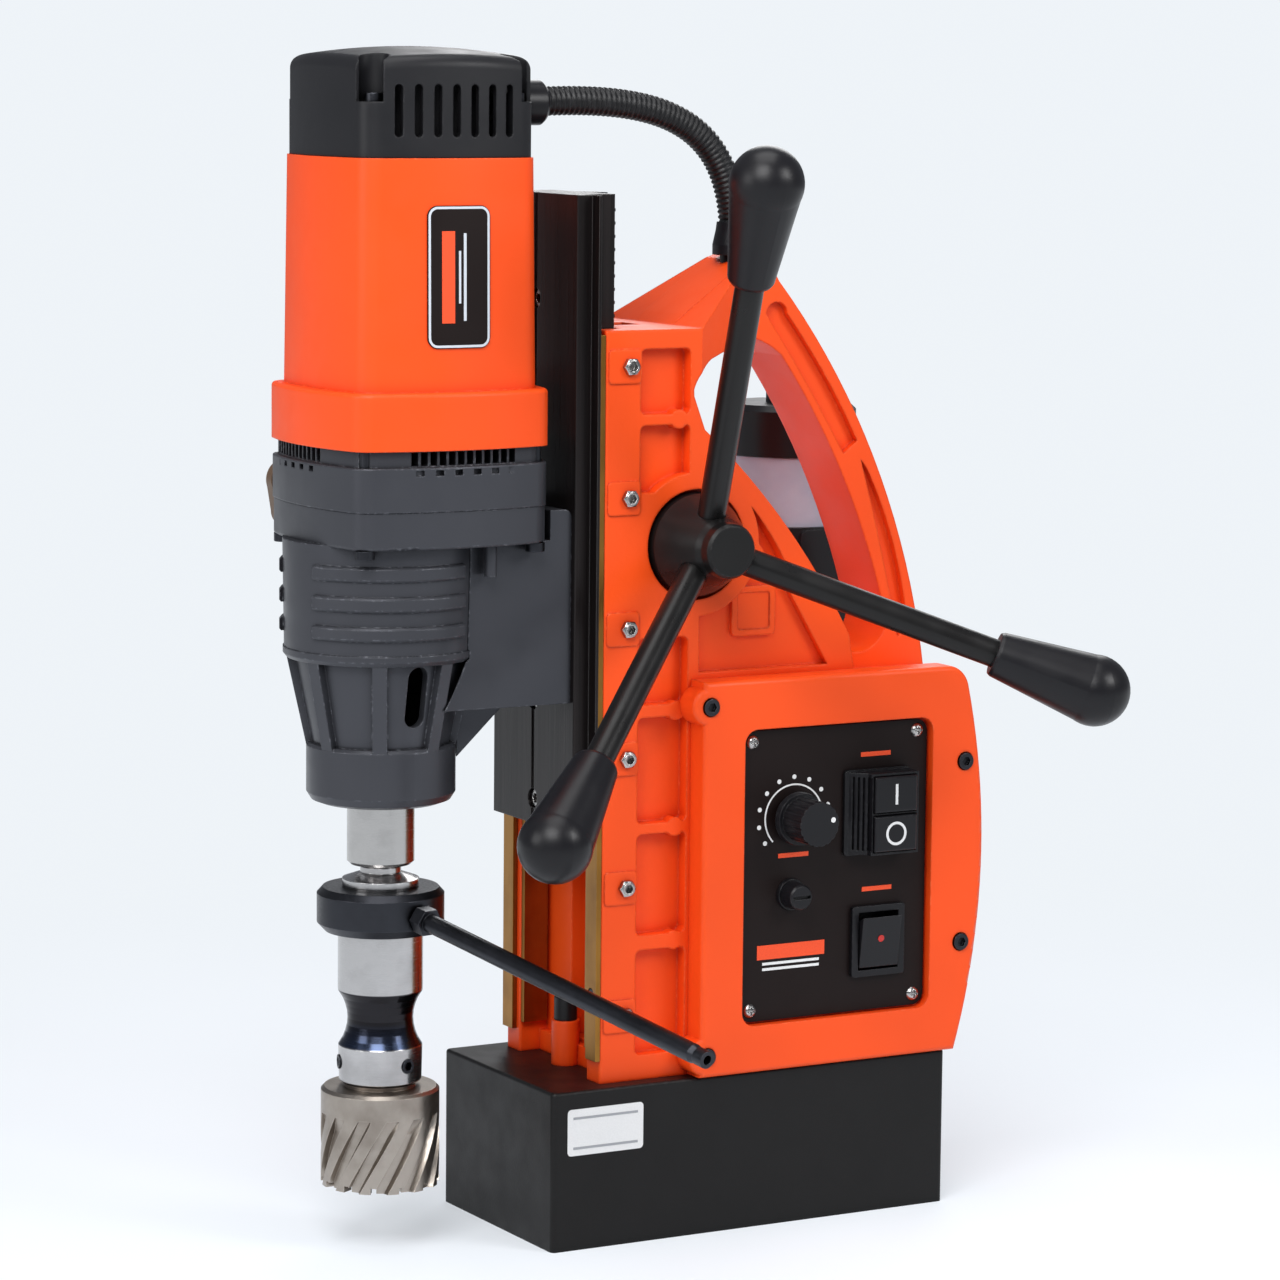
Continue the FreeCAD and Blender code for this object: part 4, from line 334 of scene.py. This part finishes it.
def arbor_steel():
    """Bright ground steel with a blued waist."""
    look = bare_metal("arbor_steel", colour=(0.52, 0.51, 0.51), tarnish_and_corner_shade=(0.10, 0.095, 0.09),
                      roughness=0.2, grain=TURNED)
    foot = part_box("arbor")[0].z
    low, high = foot + WAIST_LOW, foot + WAIST_HIGH
    height = look.height()
    inside = look.math("MULTIPLY", look.spread(height, low, low + WAIST_EDGE),
                       look.spread(height, high, high - WAIST_EDGE))
    bright = look.surface.inputs["Base Color"].links[0].from_socket
    tint = look.spread(height, low, low + WAIST_FADE)
    blued = look.mix(tint, (0.045, 0.062, 0.11), (0.028, 0.027, 0.030))
    look.set(Base_Color=look.mix(inside, bright, blued))
    return look.material


def black_oxide():
    return bare_metal("black_oxide", colour=(0.048, 0.050, 0.058), tarnish_and_corner_shade=(0.012, 0.012, 0.013),
                      roughness=0.34, grain=(700.0, 700.0, 700.0)).material


def cutter_steel():
    """High-speed steel, brownish from heat, brighter on the flute lands."""
    return bare_metal("cutter_steel", colour=(0.42, 0.375, 0.33), tarnish_and_corner_shade=(0.12, 0.09, 0.07),
                      roughness=0.33, grain=(900.0, 900.0, 260.0), edge_radius=0.35 * MM,
                      tarnish=0.6).material


def milled_brass():
    return bare_metal("milled_brass", colour=(0.34, 0.165, 0.036), tarnish_and_corner_shade=(0.12, 0.05, 0.014),
                      roughness=0.33, grain=MILLED, edge_radius=0.4 * MM, tarnish=0.55).material


def bronze():
    return bare_metal("bronze", colour=(0.45, 0.27, 0.12), tarnish_and_corner_shade=(0.14, 0.07, 0.03),
                      roughness=0.38, grain=(400.0, 400.0, 400.0)).material


def copper_winding():
    return bare_metal("copper_winding", colour=(0.62, 0.25, 0.09), tarnish_and_corner_shade=(0.2, 0.06, 0.02),
                      roughness=0.36, grain=(160.0, 160.0, 2400.0)).material


def laminations():
    return bare_metal("laminations", colour=(0.34, 0.34, 0.36), tarnish_and_corner_shade=(0.12, 0.11, 0.11),
                      roughness=0.4, grain=(60.0, 60.0, 4000.0)).material


def tank_plastic():
    """Milky, see-through polyethylene."""
    look = Look("tank_plastic")
    cloud = look.spread(look.noise(60.0, 4.0), *WIDE)
    base = look.mix(cloud, (0.66, 0.69, 0.80), (0.55, 0.59, 0.72))
    normal = look.bump(look.noise(420.0, 3.0), 0.03 * MM, 0.5, look.rounded(1.2 * MM))
    look.set(Base_Color=base, Roughness=0.38, Transmission_Weight=0.35, IOR=1.3, Normal=normal)
    return look.material


def lamp_red():
    """Dark red lens with a faint glow."""
    look = Look("lamp_red")
    glow = look.spread(look.noise(1500.0, 2.0), *WIDE)
    look.set(Base_Color=look.mix(glow, (0.42, 0.012, 0.008), (0.28, 0.006, 0.004)), Roughness=0.25,
             Emission_Color=(0.6, 0.02, 0.01), Emission_Strength=0.25)
    return look.material


LOOK_OF_SLOT = {
    "orange_paint": cast_orange, "orange_moulding": moulded_orange, "black_paint": black_enamel,
    "grey_casting": grey_cast, "black_anodised": black_slide, "brass": milled_brass,
    "copper_winding": copper_winding, "resin": potting_resin, "steel": ground_steel,
    "black_steel": black_oxide, "lamination_steel": laminations, "tool_steel": cutter_steel,
    "rubber": black_rubber, "black_plastic": black_plastic, "panel_black": panel_film,
    "tank_plastic": tank_plastic, "circuit_board": green_board, "bronze": bronze,
    "brown_moulding": brown_moulding,
}
LOOK_OF_NODE = {
    "arbor": arbor_steel, "motor_cap": cap_plastic, "feed_hub": satin_black,
    "feed_arms": satin_black,
}


def dress_nodes():
    """Gives every CAD node its material; each material is made once."""
    made = {}
    for name, node in NODES.items():
        make = LOOK_OF_NODE.get(name) or LOOK_OF_SLOT[SLOT_OF[name]]
        if make not in made:
            made[make] = make()
        node.data.materials.clear()
        node.data.materials.append(made[make])
    return made


# ------------------------------------------------------------ shapes for print

PRINT_LIFT = 0.12 * MM          # how far print stands off and sinks into its surface
SMALLEST_CORNER = 0.2 * MM


def piece(name, vertices, faces, material, body):
    """A mesh that rides on a body, if one is given, and takes the given material."""
    mesh = bpy.data.meshes.new(name)
    mesh.from_pydata(vertices, [], faces)
    mesh.update()
    mesh.materials.append(material)
    made = bpy.data.objects.new(name, mesh)
    bpy.context.scene.collection.objects.link(made)
    if body:
        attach(made, body)
    return made


def middle(node):
    """(y, z) of the middle of a node's box."""
    low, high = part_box(node)
    return (low.y + high.y) / 2, (low.z + high.z) / 2


def about(centre, half):
    """(low, high) at equal distances from a centre."""
    return centre - half, centre + half


def drop_on(node):
    """A function that gives the x of a node's +X surface at (y, z)."""
    mesh = NODES[node].data
    tree = BVHTree.FromPolygons([v.co for v in mesh.vertices], [p.vertices for p in mesh.polygons])

    def surface_x(y, z):
        hit = tree.ray_cast(Vector((1.0, y, z)), Vector((-1.0, 0.0, 0.0)))[0]
        return hit.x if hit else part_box(node)[1].x
    return surface_x


def print_bands(name, bands, node, material, body, lift=PRINT_LIFT):
    """Thin raised print on a +X-facing surface. A band is two equally long lines of (y, z)."""
    surface_x = drop_on(node)
    vertices, faces = [], []
    for inner, outer in bands:
        first, count = len(vertices), len(inner)
        outline = list(inner) + list(outer)
        for offset in (lift, -lift):
            vertices += [(surface_x(y, z) + offset, y, z) for y, z in outline]
        for k in range(first, first + count - 1):
            faces.append((k, k + 1, k + count + 1, k + count))
        to_back = len(outline)
        rim = list(range(first, first + count))
        rim += range(first + 2 * count - 1, first + count - 1, -1)
        for corner, after in zip(rim, rim[1:] + rim[:1]):
            faces.append((corner, corner + to_back, after + to_back, after))
    return piece(name, vertices, faces, material, body)


def ring_band(centre, inner, outer, start=0, end=360, steps=48):
    """An arc-shaped band; angles in degrees from straight up toward +Y."""
    turns = [math.radians(start + (end - start) * k / steps) for k in range(steps + 1)]
    return tuple([(centre[0] + radius * math.sin(turn), centre[1] + radius * math.cos(turn))
                  for turn in turns] for radius in (inner, outer))


def dot_band(centre, radius, steps=16):
    return ring_band(centre, 0.0, radius, steps=steps)


def bar_band(y, z, steps=6):
    """A straight rectangular band from (low, high) pairs."""
    across = [y[0] + (y[1] - y[0]) * k / steps for k in range(steps + 1)]
    return [(a, z[0]) for a in across], [(a, z[1]) for a in across]


def rounded_outline(y, z, radius, steps=8):
    """A closed line of (y, z) points round a rectangle with rounded corners."""
    corners = ((y[1] - radius, z[1] - radius, 0), (y[0] + radius, z[1] - radius, 90),
               (y[0] + radius, z[0] + radius, 180), (y[1] - radius, z[0] + radius, 270))
    line = []
    for number, (corner_y, corner_z, start) in enumerate(corners):
        for k in range(steps + 1):
            turn = math.radians(start + 90 * k / steps)
            line.append((corner_y + radius * math.cos(turn), corner_z + radius * math.sin(turn)))
        after_y, after_z, after_start = corners[(number + 1) % 4]
        turn = math.radians(after_start)
        goal = (after_y + radius * math.cos(turn), after_z + radius * math.sin(turn))
        here = line[-1]
        for k in range(1, steps):
            share = k / steps
            line.append((here[0] + (goal[0] - here[0]) * share,
                         here[1] + (goal[1] - here[1]) * share))
    return line + line[:1]


def rounded_bar(y, z, radius, steps=6):
    """A filled rectangle with rounded corners, as a lower and an upper line."""
    lower, upper = [], []
    for side, start in ((0, 180), (1, 270)):
        middle_y = y[0] + radius if side == 0 else y[1] - radius
        for k in range(steps + 1):
            turn = math.radians(start + 90 * k / steps)
            across = middle_y + radius * math.cos(turn)
            lower.append((across, z[0] + radius + radius * math.sin(turn)))
            upper.append((across, z[1] - radius - radius * math.sin(turn)))
    return lower, upper


def frame_band(y, z, radius, width):
    """A rounded rectangular border."""
    inner = rounded_outline((y[0] + width, y[1] - width), (z[0] + width, z[1] - width),
                            max(radius - width, SMALLEST_CORNER))
    return inner, rounded_outline(y, z, radius)


# ----------------------------------------------------------------- print marks

DIAL_ARC = (15.7 * MM, 16.5 * MM)
DIAL_ARC_END = 134                      # degrees either side of straight up
DIAL_DOTS, DIAL_DOT_STEP = 11, 25.2
DIAL_DOT_CIRCLE, DIAL_DOT_RADIUS = 19.8 * MM, 1.15 * MM
POINTER_Y, POINTER_Z, POINTER_RADIUS = 7.6 * MM, 1.8 * MM, 1.3 * MM
ON_BAR_WIDTH, ON_BAR_HEIGHT = 1.4 * MM, 10 * MM
OFF_RING = (4.5 * MM, 5.8 * MM)
LAMP_UP, LAMP_RADIUS, LAMP_LIFT = 1.6 * MM, 1.7 * MM, 0.35 * MM
DASH_LENGTH, DASH_HEIGHT = 17 * MM, 2.2 * MM
DASH_OVER_SWITCH, DASH_OVER_ROCKER, DASH_UNDER_KNOB = 7 * MM, 8 * MM, 5.2 * MM


def dial_scale(ink):
    """The speed dial's arc and tick dots round the knob."""
    centre = middle("speed_knob")
    bands = [ring_band(centre, *DIAL_ARC, -DIAL_ARC_END, DIAL_ARC_END)]
    for k in range(DIAL_DOTS):
        turn = math.radians(DIAL_DOT_STEP * (k - (DIAL_DOTS - 1) / 2))
        dot = (centre[0] + DIAL_DOT_CIRCLE * math.sin(turn),
               centre[1] + DIAL_DOT_CIRCLE * math.cos(turn))
        bands.append(dot_band(dot, DIAL_DOT_RADIUS, 12))
    print_bands("dial_scale", bands, "control_panel", ink, "stand")


def knob_pointer(ink):
    """White pointer on the rim of the knob's face, toward the highest speed."""
    y, z = middle("speed_knob")
    dot = dot_band((y + POINTER_Y, z + POINTER_Z), POINTER_RADIUS)
    print_bands("knob_pointer", [dot], "speed_knob", ink, "speed_knob")


def button_marks(ink):
    """The on bar and the off ring on the two motor buttons."""
    y, z = middle("motor_on_button")
    marks = {
        "on": bar_band(about(y, ON_BAR_WIDTH / 2), about(z, ON_BAR_HEIGHT / 2), 1),
        "off": ring_band(middle("motor_off_button"), *OFF_RING),
    }
    for word, band in marks.items():
        button = f"motor_{word}_button"
        print_bands(f"motor_{word}_mark", [band], button, ink, button)


def rocker_lamp(glass):
    """The small red window in the magnet's rocker."""
    y, z = middle("magnet_rocker")
    print_bands("rocker_lamp", [dot_band((y, z + LAMP_UP), LAMP_RADIUS)], "magnet_rocker", glass,
                "magnet_rocker", LAMP_LIFT)


def panel_dashes(orange, white):
    """Blank marks where a maker would print function names."""
    places = (
        (middle("motor_switch_body")[0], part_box("motor_switch_body")[1].z + DASH_OVER_SWITCH),
        (middle("magnet_switch_body")[0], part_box("magnet_switch_body")[1].z + DASH_OVER_ROCKER),
        (middle("speed_knob")[0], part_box("speed_knob")[0].z - DASH_UNDER_KNOB),
    )
    bands = [bar_band(about(y, DASH_LENGTH / 2), about(z, DASH_HEIGHT / 2)) for y, z in places]
    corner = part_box("control_panel")[0]
    left, foot = corner.y + 9 * MM, corner.z
    bands.append(bar_band((left, left + 38 * MM), (foot + 30 * MM, foot + 37 * MM)))
    print_bands("panel_dashes", bands, "control_panel", orange, "stand")
    line_height = 1.3 * MM
    rows = [bar_band((left + 3 * MM, left + 35 * MM), (foot + up, foot + up + line_height))
            for up in (24.5 * MM, 27.2 * MM)]
    print_bands("panel_lines", rows, "control_panel", white, "stand")


def label_print(orange, silver):
    """Border and blank upright bars on the motor's name plate."""
    low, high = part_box("motor_label")
    inset, corner, width = 0.35 * MM, 4.6 * MM, 1.1 * MM
    border = frame_band((low.y + inset, high.y - inset), (low.z + inset, high.z - inset),
                        corner, width)
    print_bands("label_border", [border], "motor_label", silver, "carriage")

    def upright(start, end, half_height, steps=6):
        across = (low.y + start * MM, low.y + end * MM)
        return bar_band(across, about((low.z + high.z) / 2, half_height * MM), steps)

    print_bands("label_mark", [upright(7, 13.5, 21)], "motor_label", orange, "carriage")
    lines = [upright(15.5, 16.6, 12, 1), upright(18.0, 19.4, 20, 1)]
    print_bands("label_lines", lines, "motor_label", silver, "carriage")


def rating_plate(white, grey):
    """A blank pale sticker on the magnet's +X side, with two grey lines."""
    low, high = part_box("magnet_body")
    y = (low.y + 8 * MM, low.y + 49 * MM)
    z = (high.z - 31 * MM, high.z - 8.5 * MM)
    print_bands("rating_plate", [rounded_bar(y, z, 2.0 * MM)], "magnet_body", white, "stand")
    margin, line_height = 3 * MM, 1.2 * MM
    rows = [bar_band((y[0] + margin, y[1] - margin), (z[0] + up, z[0] + up + line_height), 1)
            for up in (3.0 * MM, 17.5 * MM)]
    print_bands("rating_lines", rows, "magnet_body", grey, "stand", 0.2 * MM)


# --------------------------------------------------------------------- conduit

CONDUIT_RADIUS, CONDUIT_SIDES = 6.6 * MM, 20
RIB_PITCH, RIB_DEPTH, RINGS_PER_RIB = 2.7 * MM, 0.42 * MM, 6
CURVE_STEPS = 200
TUCK = 12 * MM                                      # length hidden in each gland
CAP_PULL = Vector((0.0, 78 * MM, 5 * MM))           # how the curve leaves the cap's gland
FRAME_PULL = Vector((0.0, 1 * MM, 62 * MM))         # how it comes down into the frame's gland


def bezier(points, share):
    a, b, c, d = points
    rest = 1.0 - share
    return (a * rest ** 3 + b * (3 * rest * rest * share) + c * (3 * rest * share * share)
            + d * share ** 3)


def walk(curve, spacing):
    """(distance, place, heading) at even steps of about spacing along a Bezier curve."""
    samples = [bezier(curve, k / CURVE_STEPS) for k in range(CURVE_STEPS + 1)]
    travelled = [0.0]
    for a, b in zip(samples, samples[1:]):
        travelled.append(travelled[-1] + (b - a).length)
    length = travelled[-1]
    stops = int(length / spacing)
    at = 0
    for stop in range(stops + 1):
        wanted = length * stop / stops
        while at < CURVE_STEPS - 1 and travelled[at + 1] < wanted:
            at += 1
        share = (wanted - travelled[at]) / (travelled[at + 1] - travelled[at])
        heading = (samples[at + 1] - samples[at]).normalized()
        yield wanted, samples[at].lerp(samples[at + 1], share), heading


def ribbed_tube(curve):
    """Vertices and faces of a ribbed tube along a curve that lies in the plane x = 0."""
    vertices, faces = [], []
    side = Vector((1.0, 0.0, 0.0))
    for distance, centre, heading in walk(curve, RIB_PITCH / RINGS_PER_RIB):
        up = heading.cross(side)
        radius = CONDUIT_RADIUS + RIB_DEPTH * math.cos(2 * math.pi * distance / RIB_PITCH)
        for k in range(CONDUIT_SIDES):
            turn = 2 * math.pi * k / CONDUIT_SIDES
            outward = side * math.cos(turn) + up * math.sin(turn)
            vertices.append(centre + outward * radius)
    last_ring = len(vertices) - CONDUIT_SIDES
    for ring in range(0, last_ring, CONDUIT_SIDES):
        for k in range(CONDUIT_SIDES):
            a, b = ring + k, ring + (k + 1) % CONDUIT_SIDES
            faces.append((a, b, b + CONDUIT_SIDES, a + CONDUIT_SIDES))
    faces.append(tuple(reversed(range(CONDUIT_SIDES))))
    faces.append(tuple(range(last_ring, last_ring + CONDUIT_SIDES)))
    return vertices, faces


def conduit(material):
    """Ribbed flexible conduit from the motor cap's gland to the frame's gland."""
    start = Vector((0.0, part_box("cap_gland")[1].y - TUCK, middle("cap_gland")[1]))
    end = Vector((0.0, middle("frame_gland")[0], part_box("frame_gland")[1].z - TUCK))
    vertices, faces = ribbed_tube((start, start + CAP_PULL, end + FRAME_PULL, end))
    made = piece("flexible_conduit", vertices, faces, material, None)
    for polygon in made.data.polygons:
        polygon.use_smooth = True
    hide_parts("cable_conduit")
    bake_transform(made)


# ----------------------------------------------------------------------- stage

PALE = (0.86, 0.90, 0.94)
REFLECTED = (0.20, 0.21, 0.23)          # what shiny parts see instead of the pale backdrop
FLOOR_REACH = 4.0
FLOOR_FADE = (0.25, 0.9)                # distances from the machine where it turns to backdrop
FLOOR_GLOW = 0.47
LIGHT_TARGET = Vector((0.0, -0.05, 0.28))
LIGHTS = (                              # name, azimuth, elevation, distance, size, watts
    ("key", 48, 42, 1.7, 0.9, 22),
    ("left_fill", 4, 20, 1.7, 0.7, 7),
    ("right_rim", 122, 30, 1.7, 0.6, 11),
    ("top", 60, 85, 1.5, 1.0, 9),
    ("back_fill", 232, 30, 1.9, 0.9, 9),
)
CAMERA_TARGET = Vector((27.5 * MM, -49.0 * MM, 286.5 * MM))
CAMERA_DISTANCE = 2.2
CAMERA_AZIMUTH, CAMERA_ELEVATION, CAMERA_ROLL = 60.64, 7.41, 0.558
CAMERA_LENS, CAMERA_SENSOR = 129.5, 36.0            # millimetres


def toward(azimuth, elevation):
    """Unit vector from the machine toward a place seen at these angles; azimuth 0 is -Y."""
    turn, lift = math.radians(azimuth), math.radians(elevation)
    return Vector((math.sin(turn) * math.cos(lift), -math.cos(turn) * math.cos(lift),
                   math.sin(lift)))


def floor():
    """Pale ground that takes soft shadows near the machine and fades into the backdrop."""
    quarters = ((-1, -1), (1, -1), (1, 1), (-1, 1))
    corners = [(x * FLOOR_REACH, y * FLOOR_REACH, 0) for x, y in quarters]
    mesh = bpy.data.meshes.new("floor")
    mesh.from_pydata(corners, [], [(0, 1, 2, 3)])
    ground = bpy.data.objects.new("floor", mesh)
    bpy.context.scene.collection.objects.link(ground)
    look = Look("floor_paper")
    tone = look.spread(look.noise(3.0, 3.0), *WIDE)
    look.set(Base_Color=look.mix(tone, (0.50, 0.52, 0.55), (0.48, 0.50, 0.53)), Roughness=0.9,
             Specular_IOR_Level=0.0, Emission_Color=(*PALE, 1.0), Emission_Strength=FLOOR_GLOW)
    backdrop = look.node("ShaderNodeEmission", {"Color": (*PALE, 1.0)})
    reach = look.node("ShaderNodeVectorMath", {0: look.place}, operation="LENGTH")
    faded = look.spread(reach.outputs["Value"], *FLOOR_FADE)
    both = look.node("ShaderNodeMixShader", {0: faded, 1: look.surface.outputs[0],
                                             2: backdrop.outputs[0]})
    look.links.new(both.outputs[0], look.nodes["Material Output"].inputs["Surface"])
    mesh.materials.append(look.material)


def soft_light(name, azimuth, elevation, distance, size, power):
    """A square soft box aimed at the middle of the machine."""
    way = toward(azimuth, elevation)
    data = bpy.data.lights.new(name, "AREA")
    data.size = size
    data.energy = power
    light = bpy.data.objects.new(name, data)
    light.location = LIGHT_TARGET + way * distance
    light.rotation_euler = way.to_track_quat("Z", "Y").to_euler()
    bpy.context.scene.collection.objects.link(light)


def surroundings():
    """Pale to the camera, dimmer to reflections, so that bare metal has contrast."""
    world = bpy.data.worlds.new("studio")
    bpy.context.scene.world = world
    world.use_nodes = True
    nodes, links = world.node_tree.nodes, world.node_tree.links
    background = nodes["Background"]
    background.inputs["Color"].default_value = (*REFLECTED, 1.0)
    pale = nodes.new("ShaderNodeBackground")
    pale.inputs["Color"].default_value = (*PALE, 1.0)
    path = nodes.new("ShaderNodeLightPath")
    both = nodes.new("ShaderNodeMixShader")
    links.new(path.outputs["Is Camera Ray"], both.inputs[0])
    links.new(background.outputs[0], both.inputs[1])
    links.new(pale.outputs[0], both.inputs[2])
    links.new(both.outputs[0], nodes["World Output"].inputs["Surface"])


def camera():
    """The view of the picture: long lens, from the front right, slightly above."""
    turn, roll = math.radians(CAMERA_AZIMUTH), math.radians(CAMERA_ROLL)
    right = Vector((math.cos(turn), math.sin(turn), 0.0))
    back = toward(CAMERA_AZIMUTH, CAMERA_ELEVATION)
    up = back.cross(right)
    axes = Matrix((right * math.cos(roll) + up * math.sin(roll),
                   up * math.cos(roll) - right * math.sin(roll), back)).transposed()
    data = bpy.data.cameras.new("camera")
    data.lens = CAMERA_LENS
    data.sensor_width = CAMERA_SENSOR
    made = bpy.data.objects.new("camera", data)
    place = CAMERA_TARGET + back * CAMERA_DISTANCE
    made.matrix_world = Matrix.Translation(place) @ axes.to_4x4()
    bpy.context.scene.collection.objects.link(made)
    bpy.context.scene.camera = made


def main():
    looks = dress_nodes()
    white = print_ink("white_ink", (0.80, 0.80, 0.80))
    orange = print_ink("orange_ink", (0.90, 0.075, 0.01))
    silver = print_ink("silver_ink", (0.62, 0.66, 0.72), 0.35)
    grey = print_ink("grey_ink", (0.35, 0.36, 0.38))
    dial_scale(white)
    knob_pointer(white)
    button_marks(white)
    rocker_lamp(lamp_red())
    panel_dashes(orange, white)
    label_print(orange, silver)
    rating_plate(white, grey)
    conduit(looks[black_rubber])
    floor()
    surroundings()
    for light in LIGHTS:
        soft_light(*light)
    camera()
    bpy.context.scene.view_settings.view_transform = "Standard"


main()
